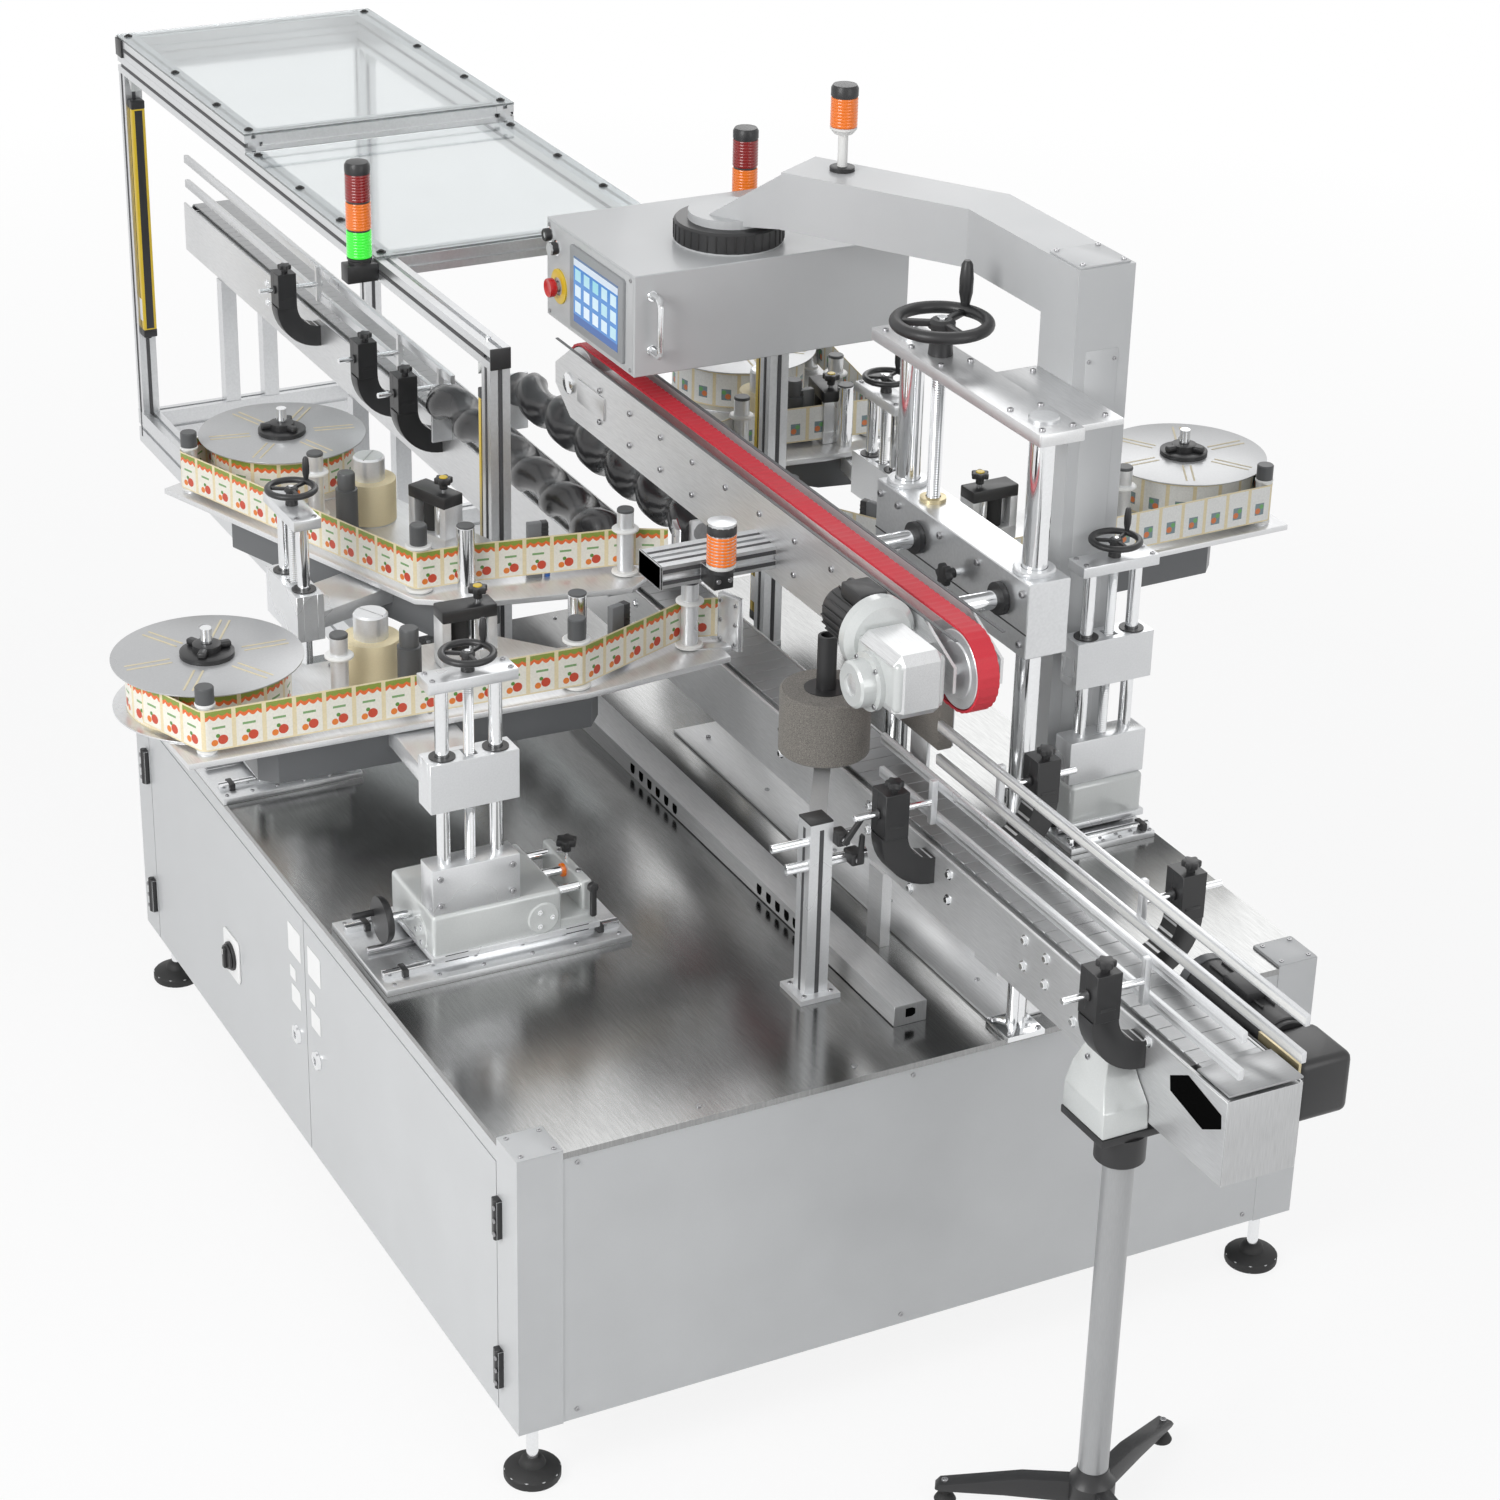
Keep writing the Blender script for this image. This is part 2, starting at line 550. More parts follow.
BED_TOP = CHAIN_TOP - CHAIN_THICKNESS - SEAT
SPACER_RADIUS = 0.006
SPACER_PITCH = 0.800
SPACER_Z = SIDE_PLATE_BOTTOM + SPACER_RADIUS * 1.2
SCREW_START = -1.400
SCREW_END = -0.480
SCREW_RADIUS = 0.048
SCREW_Z_RISE = 0.375
SCREW_Z = TABLE_HEIGHT + SCREW_Z_RISE
SCREW_SPREAD = 0.094
BEARING_PLATE = 0.008
POST_BAR = 0.050
CLAMP_BEND = 0.110
CLAMP_WALL = 0.050
CLAMP_THICKNESS = 0.040
CLAMP_ROD_RADIUS = 0.006
RAIL_HOLDER = 0.012
CLAMP_HEAD = (0.050, 0.046, 0.085)
OUTFEED_CLAMPS = {-1: (0.760, 1.440), 1: (0.760, 1.220)}
INFEED_CLAMPS = (-2.246, -1.721, -1.478)
CLAMP_Z = (RAIL_HIGH + RAIL_LOW + RAIL_DEPTH) / 2
PLATE_FACE = LANE_WIDTH / 2

frame = Piece("conveyor_frame", "aluminium")
plate_outline = [
    (CONVEYOR_START, SIDE_PLATE_BOTTOM), (DRIVE_START, SIDE_PLATE_BOTTOM),
    (DRIVE_START + SIDE_PLATE_BOTTOM - DRIVE_END_BOTTOM, DRIVE_END_BOTTOM),
    (CONVEYOR_END, DRIVE_END_BOTTOM), (CONVEYOR_END, SIDE_PLATE_TOP), (CONVEYOR_START, SIDE_PLATE_TOP),
]
window_shares = (
    (-0.5, -0.2), (-0.3, -0.5), (0.3, -0.5), (0.5, -0.2), (0.5, 0.2), (0.3, 0.5), (-0.3, 0.5), (-0.5, 0.2))
window = [(WINDOW_X + i * WINDOW_WIDTH, WINDOW_Z + j * WINDOW_HEIGHT) for i, j in window_shares]
frame.slab([plate_outline, window], SIDE_PLATE, (0, LANE_Y - PLATE_OFFSET, 0), FACING_Y)
frame.slab([plate_outline], SIDE_PLATE, (0, LANE_Y + PLATE_OFFSET, 0), FACING_Y)
BED_LENGTH = DRIVE_X - TAIL_X - SPROCKET_RADIUS
frame.block((BED_LENGTH, PLATE_INNER, BED_HEIGHT), ((DRIVE_X + TAIL_X) / 2, LANE_Y, BED_TOP - BED_HEIGHT / 2))
frame.block(
    (END_BLOCK, PLATE_INNER, SIDE_PLATE_TOP - DRIVE_END_BOTTOM - 2 * JOIN),
    (CONVEYOR_END - JOIN - END_BLOCK / 2, LANE_Y, WINDOW_Z))
spacers = int((DRIVE_START - CONVEYOR_START) / SPACER_PITCH)
for index in range(spacers):
    spacer_x = CONVEYOR_START + (index + 0.5) * SPACER_PITCH
    frame.rod(SPACER_RADIUS, PLATE_INNER, (spacer_x, LANE_Y, SPACER_Z), ALONG_Y, SMALL_STEPS)
LEG_FOOT = TABLE_HEIGHT + SEAT
LEG_CAP = SIDE_PLATE_BOTTOM + JOIN - BASE_PLATE_THICKNESS
frame.block((BASE_PLATE, BASE_PLATE, BASE_PLATE_THICKNESS),
            (CONVEYOR_LEG_X, LANE_Y, LEG_FOOT + BASE_PLATE_THICKNESS / 2))
frame.rod(CONVEYOR_LEG_RADIUS, LEG_CAP - LEG_FOOT,
          (CONVEYOR_LEG_X, LANE_Y, (LEG_CAP + LEG_FOOT + BASE_PLATE_THICKNESS) / 2))
frame.block((BASE_PLATE, LANE_WIDTH - JOIN, BASE_PLATE_THICKNESS),
            (CONVEYOR_LEG_X, LANE_Y, LEG_CAP + BASE_PLATE_THICKNESS / 2))
frame.block(
    (POST_BAR, POST_BAR * 0.4, SIDE_PLATE_BOTTOM + JOIN - LEG_FOOT),
    (CONVEYOR_POST_X, LANE_Y - PLATE_OFFSET, (SIDE_PLATE_BOTTOM + JOIN + LEG_FOOT) / 2))
for side in (-1, 1):
    for x in (SCREW_START - BEARING_PLATE / 2 - SEAT, SCREW_END + BEARING_PLATE / 2 + SEAT):
        plate_low = BED_TOP - BED_HEIGHT / 2
        plate_top = SCREW_Z + SCREW_RADIUS / 2
        frame.block(
            (BEARING_PLATE, SCREW_RADIUS, plate_top - plate_low),
            (x, LANE_Y + side * (PLATE_FACE + SCREW_RADIUS / 2 - SIDE_PLATE / 2), (plate_top + plate_low) / 2))


def rail_clamp(piece, x, side):
    """Curved black arm from the side plate up to the rod of a guide rail."""
    bend_z = CLAMP_Z - CLAMP_HEAD[2] / 2
    outer = circle(CLAMP_BEND, (0, 0), NOSE_STEPS, HALF_TURN, QUARTER_TURN)
    inner = circle(CLAMP_BEND - CLAMP_WALL, (0, 0), NOSE_STEPS, HALF_TURN + QUARTER_TURN, -QUARTER_TURN)
    arm = [(-side * y, z) for y, z in outer + inner]
    face_y = LANE_Y + side * (PLATE_FACE - JOIN)
    piece.slab([arm], CLAMP_THICKNESS, (x, face_y, bend_z + JOIN), ALONG_X)
    head_y = face_y + side * (CLAMP_BEND - CLAMP_WALL / 2)
    piece.block(CLAMP_HEAD, (x, head_y, CLAMP_Z))
    return head_y



for side, places in OUTFEED_CLAMPS.items():
    for x in places:
        head_y = rail_clamp(frame, x, side)
        frame.rod(CLAMP_ROD_RADIUS + RUNNING_CLEARANCE, CLAMP_HEAD[1] * 2, (x, head_y, CLAMP_Z), ALONG_Y,
                  SMALL_STEPS, cut=True)
for x in INFEED_CLAMPS:
    head_y = rail_clamp(frame, x, -1)
    rod_in = LANE_Y - RAIL_GAP / 2 - JOIN
    rod_out = head_y - CLAMP_HEAD[1] * 1.3
    frame.rod(CLAMP_ROD_RADIUS, rod_in - rod_out, (x, (rod_in + rod_out) / 2, CLAMP_Z), ALONG_Y, SMALL_STEPS)
    frame.block((RAIL_HOLDER, RAIL_HOLDER, RAIL_HIGH - RAIL_LOW + RAIL_DEPTH),
                (x, rod_in - RAIL_THICKNESS, CLAMP_Z))
for height in (RAIL_LOW, RAIL_HIGH):
    infeed_end = SCREW_START - RAIL_DEPTH
    frame.block(
        (infeed_end - CONVEYOR_START, RAIL_THICKNESS, RAIL_DEPTH),
        ((infeed_end + CONVEYOR_START) / 2, LANE_Y - RAIL_GAP / 2 - RAIL_THICKNESS / 2, height + RAIL_DEPTH / 2))
frame.finished()

# Outfeed guide rails slide sideways on their rods
for side, tag in ((-1, "near"), (1, "far")):
    rail_y = LANE_Y + side * (RAIL_GAP + RAIL_THICKNESS) / 2
    rail = Piece("guide_rail_" + tag, "acetal_white", ((RAIL_START + RAIL_END) / 2, rail_y, CLAMP_Z))
    for height in (RAIL_LOW, RAIL_HIGH):
        rail.block((RAIL_END - RAIL_START, RAIL_THICKNESS, RAIL_DEPTH),
                   ((RAIL_START + RAIL_END) / 2, rail_y, height + RAIL_DEPTH / 2))
    for x in OUTFEED_CLAMPS[side]:
        holder_y = rail_y + side * (RAIL_THICKNESS + RAIL_HOLDER - JOIN) / 2
        rail.block((RAIL_HOLDER, RAIL_HOLDER, RAIL_HIGH - RAIL_LOW + RAIL_DEPTH * 0.9), (x, holder_y, CLAMP_Z))
        rod_length = CLAMP_BEND + CLAMP_HEAD[1]
        rail.rod(CLAMP_ROD_RADIUS, rod_length, (x, holder_y + side * rod_length / 2, CLAMP_Z), ALONG_Y, SMALL_STEPS)
    rail.finished()


def obround(radius, left, right, steps):
    """Two half circles joined by straight runs."""
    return (circle(radius, (right, 0), steps, -QUARTER_TURN, HALF_TURN)
            + circle(radius, (left, 0), steps, QUARTER_TURN, HALF_TURN))


chain = Piece("conveyor_chain", "acetal_white")
chain.slab(
    [obround(CHAIN_OUTER, TAIL_X, DRIVE_X, NOSE_STEPS), obround(SPROCKET_RADIUS, TAIL_X, DRIVE_X, NOSE_STEPS)],
    CHAIN_WIDTH, (0, LANE_Y, CHAIN_Z), FACING_Y)
chain.finished()

# Feed screws: a lobed section turned steadily along the axis
SCREW_TURNS = 6
STEPS_PER_TURN = 6
SECTION_STEPS = 8
SCREW_ROOT = SCREW_RADIUS * 0.62


def feed_screw(name, side):
    """Timing screw whose off-centre section winds along +X."""
    axis_y = LANE_Y + side * SCREW_SPREAD
    screw = Piece(name, "dark_grey", (SCREW_START, axis_y, SCREW_Z))
    middle = (SCREW_RADIUS + SCREW_ROOT) / 2
    points = circle(middle, (SCREW_RADIUS - middle, 0), SECTION_STEPS)
    shape = bmesh.new()
    count = SCREW_TURNS * STEPS_PER_TURN
    length = SCREW_END - SCREW_START
    rings = []
    for step in range(count + 1):
        turn = Matrix.Rotation(side * FULL_TURN * step / STEPS_PER_TURN, 4, "X")
        rings.append([shape.verts.new(turn @ Vector((0, y, z)) + Vector((length * step / count, 0, 0)))
                      for y, z in points])
    for low, high in zip(rings, rings[1:]):
        for index in range(SECTION_STEPS):
            after = (index + 1) % SECTION_STEPS
            shape.faces.new((low[index], low[after], high[after], high[index]))
    shape.faces.new(rings[0])
    shape.faces.new(rings[-1])
    screw.keep(shape, Matrix.Translation((SCREW_START, axis_y, SCREW_Z)))
    screw.finished()


feed_screw("feed_screw_near", -1)
feed_screw("feed_screw_far", 1)

# Gearmotor on the outfeed end
MOTOR_PLATE = 0.010
MOTOR_FACE_Y = LANE_Y + LANE_WIDTH / 2 + SEAT
GEARBOX = (0.110, 0.105, 0.140)
MOTOR_RADIUS = 0.052
MOTOR_LENGTH = 0.250
MOTOR_Y = MOTOR_FACE_Y + 2 * MOTOR_PLATE + GEARBOX[1] / 2
motor = Piece("conveyor_motor", "black_plastic", (DRIVE_X, MOTOR_Y, CHAIN_Z))
motor.block((GEARBOX[0] * 0.9, MOTOR_PLATE, GEARBOX[2] * 0.8), (DRIVE_X, MOTOR_FACE_Y + MOTOR_PLATE / 2, CHAIN_Z))
motor.rod(GEARBOX[0] * 0.35, MOTOR_PLATE * 2, (DRIVE_X, MOTOR_FACE_Y + MOTOR_PLATE * 1.5, CHAIN_Z), ALONG_Y)
motor.block(GEARBOX, (DRIVE_X, MOTOR_Y, CHAIN_Z), bevel=GEARBOX[0] / 8)
motor.turned(
    [(0, MOTOR_LENGTH), (MOTOR_RADIUS, MOTOR_LENGTH), (MOTOR_RADIUS, MOTOR_LENGTH * 0.75),
     (MOTOR_RADIUS * 0.9, MOTOR_LENGTH * 0.72), (MOTOR_RADIUS * 0.9, MOTOR_LENGTH * 0.1),
     (MOTOR_RADIUS, MOTOR_LENGTH * 0.1), (MOTOR_RADIUS, 0), (0, 0)],
    (DRIVE_X - GEARBOX[0] * 0.45, MOTOR_Y, CHAIN_Z + GEARBOX[2] * 0.1), Matrix.Rotation(-QUARTER_TURN, 4, "Y"))
motor.finished()

# Floor stand under the outfeed end
COLLAR_TOP_RISE = 0.020
COLLAR_TOP = TABLE_HEIGHT + COLLAR_TOP_RISE
COLLAR_HEIGHT = 0.080
STAND_HEAD_WIDTH = 0.100
STAND_LEG_WIDTH = 0.030
STAND_LEG_HEIGHT = 0.045
STAND_PIN_HEIGHT = 0.026
stand = Piece("outfeed_stand", "dark_grey", (STAND_X, STAND_Y, 0))
stand.turned(
    [(0, COLLAR_TOP), (STAND_HEAD_WIDTH * 0.5, COLLAR_TOP), (STAND_HEAD_WIDTH * 0.5, COLLAR_TOP - COLLAR_HEIGHT * 0.5),
     (STAND_HEAD_WIDTH * 0.38, COLLAR_TOP - COLLAR_HEIGHT), (STAND_COLUMN_RADIUS, COLLAR_TOP - COLLAR_HEIGHT),
     (STAND_COLUMN_RADIUS, STAND_HUB_HEIGHT * 1.3), (STAND_COLUMN_RADIUS * 1.7, STAND_HUB_HEIGHT * 1.1),
     (STAND_COLUMN_RADIUS * 1.7, STAND_PIN_HEIGHT), (0, STAND_PIN_HEIGHT)],
    (STAND_X, STAND_Y, 0))
STAND_HEAD_TOP = DRIVE_END_BOTTOM - SEAT
stand.turned(
    [(0, STAND_HEAD_TOP), (STAND_HEAD_WIDTH * 0.55, STAND_HEAD_TOP), (STAND_HEAD_WIDTH * 0.4, COLLAR_TOP - JOIN),
     (0, COLLAR_TOP - JOIN)],
    (STAND_X, STAND_Y, 0), Matrix.Rotation(HALF_TURN / 4, 4, "Z"), steps=4)
for index in range(3):
    turn = FULL_TURN * (index / 3) - 0.05
    heading = Vector((math.cos(turn), math.sin(turn), 0))
    middle = Vector((STAND_X, STAND_Y, 0)) + heading * (STAND_LEG_REACH + STAND_COLUMN_RADIUS) / 2
    stand.block((STAND_LEG_REACH - STAND_COLUMN_RADIUS, STAND_LEG_WIDTH, STAND_LEG_HEIGHT),
                (middle.x, middle.y, STAND_PIN_HEIGHT + JOIN + STAND_LEG_HEIGHT / 2), turn)
    tip = Vector((STAND_X, STAND_Y, 0)) + heading * (STAND_LEG_REACH - STAND_LEG_WIDTH)
    stand.rod(STAND_LEG_WIDTH * 0.65, STAND_PIN_HEIGHT + 2 * JOIN, (tip.x, tip.y, STAND_PIN_HEIGHT / 2 + JOIN),
              steps=SMALL_STEPS, tip=STAND_LEG_WIDTH * 0.3)
stand.finished()

# Guard: slotted profiles carried by the cabinet and by two posts on the table
SLOT_WIDTH = 0.010
SLOT_DEPTH = 0.008
FRONT_RAIL_Y = GUARD_FRONT + PROFILE / 2
BACK_RAIL_Y = GUARD_BACK - PROFILE / 2
GUARD_INNER = GUARD_BACK - GUARD_FRONT - 2 * PROFILE + 2 * JOIN
GUARD_MIDDLE_Y = (GUARD_FRONT + GUARD_BACK) / 2
HIGH_RAIL_Z = GUARD_TOP - PROFILE / 2
LOW_RAIL_Z = GUARD_LOW_TOP - PROFILE / 2
CONVEYOR_PROP = 0.040


def slotted(width, height):
    """Profile section with a slot in the middle of each face."""
    x, y, w, d = width / 2, height / 2, SLOT_WIDTH / 2, SLOT_DEPTH
    outline = [
        (-x, -y), (-w, -y), (-w, -y + d), (w, -y + d), (w, -y), (x, -y),
        (x, -w), (x - d, -w), (x - d, w), (x, w), (x, y),
        (w, y), (w, y - d), (-w, y - d), (-w, y), (-x, y), (-x, w), (-x + d, w), (-x + d, -w), (-x, -w),
    ]
    return outline


POST_SHARE = 0.97
HIGH_SHARE = 0.985
guard = Piece("guard_frame", "aluminium")
ends = ((GUARD_START, GUARD_END, LOW_RAIL_Z, 1), (GUARD_START + JOIN, GUARD_STEP, HIGH_RAIL_Z - JOIN, HIGH_SHARE))
bottom_end = -HALF_LENGTH - SEAT
for rail_y, drop in ((FRONT_RAIL_Y, 0), (BACK_RAIL_Y, PROFILE - JOIN)):
    for start, end, rail_z, share in ends:
        end = min(end, GUARD_CROSS + PROFILE if drop else end)
        guard.slab([slotted(PROFILE * share, PROFILE)], end - start, ((start + end) / 2, rail_y, rail_z), ALONG_X)
    guard.slab([slotted(PROFILE, BOTTOM_PROFILE_HEIGHT)], bottom_end - GUARD_START,
               ((bottom_end + GUARD_START) / 2, rail_y, GUARD_BOTTOM - BOTTOM_PROFILE_HEIGHT / 2), ALONG_X)
    post_low = GUARD_BOTTOM - JOIN
    post_top = GUARD_LOW_TOP - PROFILE + JOIN
    if drop:
        guard.slab([slotted(PROFILE * HIGH_SHARE, PROFILE)], GUARD_END - GUARD_CROSS,
                   ((GUARD_END + GUARD_CROSS) / 2, rail_y, LOW_RAIL_Z - drop), ALONG_X)
    guard.slab([slotted(PROFILE * POST_SHARE, PROFILE * POST_SHARE)], post_top - post_low,
               (GUARD_START + PROFILE / 2 + JOIN, rail_y, (post_top + post_low) / 2))
    near_low = TABLE_HEIGHT + SEAT
    post_top -= drop
    guard.slab([slotted(PROFILE * POST_SHARE, PROFILE * POST_SHARE)], post_top - near_low - JOIN,
               (GUARD_END - PROFILE / 2 - JOIN, rail_y, (post_top + near_low + JOIN) / 2))
    guard.block((PROFILE * 2, PROFILE, BASE_PLATE_THICKNESS),
                (GUARD_END - PROFILE, rail_y, near_low + BASE_PLATE_THICKNESS / 2))
cross_places = [(GUARD_START, LOW_RAIL_Z), (GUARD_CROSS, LOW_RAIL_Z),
                (GUARD_START, HIGH_RAIL_Z - JOIN), (GUARD_STEP - PROFILE, HIGH_RAIL_Z - JOIN)]
for start, rail_z in cross_places:
    guard.slab([slotted(PROFILE * 0.92, PROFILE * 0.94)], GUARD_INNER + 2 * JOIN,
               (start + PROFILE / 2, GUARD_MIDDLE_Y, rail_z), ALONG_Y)
for start in (GUARD_START, GUARD_STEP):
    guard.slab([slotted(BOTTOM_PROFILE_HEIGHT * 0.92, PROFILE * 0.94)], GUARD_INNER + 2 * JOIN,
               (start + PROFILE / 2, GUARD_MIDDLE_Y, GUARD_BOTTOM - BOTTOM_PROFILE_HEIGHT / 2), ALONG_Y)
    prop_low = GUARD_BOTTOM - BOTTOM_PROFILE_HEIGHT * 0.2
    prop_top = SIDE_PLATE_BOTTOM - SEAT
    for side in (-1, 1):
        guard.block((CONVEYOR_PROP * 0.9, CONVEYOR_PROP, prop_top - prop_low),
                    (start + PROFILE / 2, LANE_Y + side * PLATE_OFFSET * 0.8, (prop_top + prop_low) / 2))
guard.finished()

for tag, start, end, top in (("far", GUARD_START, GUARD_STEP, GUARD_TOP - JOIN),
                             ("near", GUARD_STEP + SEAT * 2, GUARD_CROSS + PROFILE, GUARD_LOW_TOP)):
    panel = Piece("panel_" + tag, "clear_panel")
    panel.block((end - start, GUARD_BACK - GUARD_FRONT, PANEL_THICKNESS),
                ((start + end) / 2, GUARD_MIDDLE_Y, top + SEAT + PANEL_THICKNESS / 2))
    panel.finished()

# Light curtains on the inner sides of three posts
CURTAIN_LOW_RISE = 0.040
CURTAIN_LOW = TABLE_HEIGHT + CURTAIN_LOW_RISE
CURTAIN_TOP_RISE = 0.670
CURTAIN_TOP = TABLE_HEIGHT + CURTAIN_TOP_RISE
CURTAIN_WIDTH = 0.030
CURTAIN_DEPTH = 0.036
POST_INNER_X = GUARD_END - PROFILE - JOIN
for tag, face_x, side, rail_y in (("far", GUARD_START + PROFILE + JOIN, 1, FRONT_RAIL_Y),
                                  ("near", POST_INNER_X, -1, FRONT_RAIL_Y), ("back", POST_INNER_X, -1, BACK_RAIL_Y)):
    curtain = Piece("curtain_" + tag, "yellow_paint")
    curtain_x = face_x + side * (SEAT + CURTAIN_WIDTH / 2)
    curtain.block((CURTAIN_WIDTH, CURTAIN_DEPTH, CURTAIN_TOP - CURTAIN_LOW),
                  (curtain_x, rail_y, (CURTAIN_TOP + CURTAIN_LOW) / 2), bevel=CURTAIN_WIDTH / 8)
    curtain.finished()

# Signal towers and beacons: stacked drums on a narrower stem
TOWER_RADIUS = 0.0275
TOWER_DRUM = 0.062
BRACKET = 0.040


def lamp_stack(piece, x, y, base, drums, stem=0.0):
    """Base, drums with grooves between them and a lid, turned as one."""
    profile = [(0, base), (TOWER_RADIUS * 0.9, base), (TOWER_RADIUS * 0.9, base + TOWER_RADIUS * 0.3)]
    if stem:
        profile += [(TOWER_RADIUS * 0.35, base + TOWER_RADIUS * 0.4), (TOWER_RADIUS * 0.35, base + stem)]
    level = base + stem + TOWER_RADIUS * 0.5
    for index in range(drums):
        profile += [(TOWER_RADIUS, level), (TOWER_RADIUS, level + TOWER_DRUM * 0.94),
                    (TOWER_RADIUS * 0.92, level + TOWER_DRUM * 0.97)]
        level += TOWER_DRUM
    profile += [(TOWER_RADIUS, level), (TOWER_RADIUS, level + TOWER_DRUM * 0.35), (0, level + TOWER_DRUM * 0.4)]
    piece.turned(profile[::-1], (x, y, 0), steps=ROUND_STEPS)


tower = Piece("tower_guard", "lamp_orange")
TOWER_X = -1.240
tower_y = GUARD_FRONT - SEAT - TOWER_RADIUS * 1.3
tower.block((BRACKET, TOWER_RADIUS * 2.6, BRACKET), (TOWER_X, tower_y, LOW_RAIL_Z))
lamp_stack(tower, TOWER_X, tower_y, LOW_RAIL_Z + BRACKET / 2 - JOIN, 3)
tower.finished()
tower = Piece("tower_back", "lamp_orange")
TOWER_BACK_X = -0.920
tower_y = GUARD_BACK + SEAT + TOWER_RADIUS * 1.3
tower.block((BRACKET, TOWER_RADIUS * 2.6, BRACKET), (TOWER_BACK_X, tower_y, LOW_RAIL_Z - PROFILE))
lamp_stack(tower, TOWER_BACK_X, tower_y, LOW_RAIL_Z - PROFILE + BRACKET / 2 - JOIN, 3, BRACKET * 3)
tower.finished()

# Gantry: column, arm with mitred elbow, wedge down to the pivot
ARM_LOW = GANTRY_TOP - GANTRY_ARM_HEIGHT
ELBOW_NEAR = (-0.087, 0.625)
ELBOW_FAR = (-0.136, 0.747)
ARM_END_NEAR = (-0.435, 0.403)
ARM_END_FAR = (-0.502, 0.515)
WEDGE_LENGTH = 0.175
gantry = Piece("gantry_arm", "painted_grey", (GANTRY_X, GANTRY_Y, TABLE_HEIGHT))
gantry.block((GANTRY_WIDTH, GANTRY_WIDTH, GANTRY_TOP - TABLE_HEIGHT - SEAT),
             (GANTRY_X, GANTRY_Y, (GANTRY_TOP + TABLE_HEIGHT + SEAT) / 2))
arm_root = GANTRY_X + GANTRY_WIDTH / 2 - JOIN
gantry.slab(
    [[ELBOW_NEAR, (arm_root, GANTRY_Y - GANTRY_WIDTH / 2 + JOIN), (arm_root, GANTRY_Y + GANTRY_WIDTH / 2 - JOIN),
      ELBOW_FAR, ARM_END_FAR, ARM_END_NEAR]],
    GANTRY_ARM_HEIGHT - JOIN, (0, 0, ARM_LOW + GANTRY_ARM_HEIGHT / 2))
arm_end = (Vector(ARM_END_NEAR) + Vector(ARM_END_FAR)) / 2
towards = Vector(ARM_END_NEAR) - Vector(ELBOW_NEAR)
arm_turn = math.atan2(towards.y, towards.x)
arm_width = (Vector(ARM_END_FAR) - Vector(ARM_END_NEAR)).length
gantry.slab(
    [[(-JOIN * 4, ARM_LOW + JOIN), (WEDGE_LENGTH, BOX_TOP + PIVOT_HEIGHT * 0.9), (WEDGE_LENGTH, ARM_LOW - PIVOT_HEIGHT * 0.1),
      (-JOIN * 4, GANTRY_TOP - JOIN)]],
    arm_width * 0.96, (arm_end.x, arm_end.y, 0), Matrix.Rotation(arm_turn, 4, "Z") @ FACING_Y)
pivot_low = BOX_TOP + SEAT
gantry.turned(
    [(0, ARM_LOW + JOIN), (PIVOT_RADIUS * 0.75, ARM_LOW + JOIN), (PIVOT_RADIUS * 0.75, pivot_low + PIVOT_HEIGHT),
     (PIVOT_RADIUS, pivot_low + PIVOT_HEIGHT * 0.9), (PIVOT_RADIUS, pivot_low), (0, pivot_low)],
    (PIVOT_X, PIVOT_Y, 0), steps=ROUND_STEPS * 2)
gantry.block((GANTRY_WIDTH * 1.2, GANTRY_WIDTH * 1.2, BASE_PLATE_THICKNESS),
             (GANTRY_X, GANTRY_Y, TABLE_HEIGHT + SEAT * 2 + BASE_PLATE_THICKNESS / 2))
gantry.finished()

beacon = Piece("beacon_arm", "lamp_orange")
lamp_stack(beacon, -0.400, 0.520, GANTRY_TOP + SEAT, 1, 0.075)
beacon.finished()

# Control box with handle, touch screen and stop button
BOX_FRONT = BOX_Y - BOX_LENGTH / 2
HANDLE_RADIUS = 0.006
HANDLE_REACH = 0.040
HANDLE_Y = 0.133
HANDLE_LOW_RISE = 0.790
HANDLE_LOW = TABLE_HEIGHT + HANDLE_LOW_RISE
HANDLE_HIGH_RISE = 0.910
HANDLE_HIGH = TABLE_HEIGHT + HANDLE_HIGH_RISE
STOP_X = -0.805
STOP_Z_RISE = 0.820
STOP_Z = TABLE_HEIGHT + STOP_Z_RISE
box = Piece("control_box", "painted_grey", (PIVOT_X, PIVOT_Y, BOX_TOP))
box.block((BOX_WIDTH, BOX_LENGTH, BOX_HEIGHT), (BOX_X, BOX_Y, BOX_TOP - BOX_HEIGHT / 2), bevel=JOIN * 2)
face_x = BOX_X + BOX_WIDTH / 2 - HANDLE_RADIUS
box.tube(HANDLE_RADIUS, [(face_x, HANDLE_Y, HANDLE_LOW), (face_x + HANDLE_REACH, HANDLE_Y, HANDLE_LOW),
                         (face_x + HANDLE_REACH + HANDLE_RADIUS, HANDLE_Y, HANDLE_LOW + HANDLE_RADIUS),
                         (face_x + HANDLE_REACH + HANDLE_RADIUS, HANDLE_Y, HANDLE_HIGH - HANDLE_RADIUS),
                         (face_x + HANDLE_REACH, HANDLE_Y, HANDLE_HIGH), (face_x, HANDLE_Y, HANDLE_HIGH)])
STOP_RING_RADIUS = 0.036
STOP_RING_THICKNESS = 0.004
STOP_STEM = 0.012
STOP_TRAVEL = 0.005
box.rod(STOP_RING_RADIUS, STOP_RING_THICKNESS + JOIN,
        (STOP_X, BOX_FRONT - STOP_RING_THICKNESS / 2 + JOIN / 2, STOP_Z), ALONG_Y)
box.rod(STOP_STEM + RUNNING_CLEARANCE, STOP_STEM * 2, (STOP_X, BOX_FRONT, STOP_Z), ALONG_Y, cut=True)
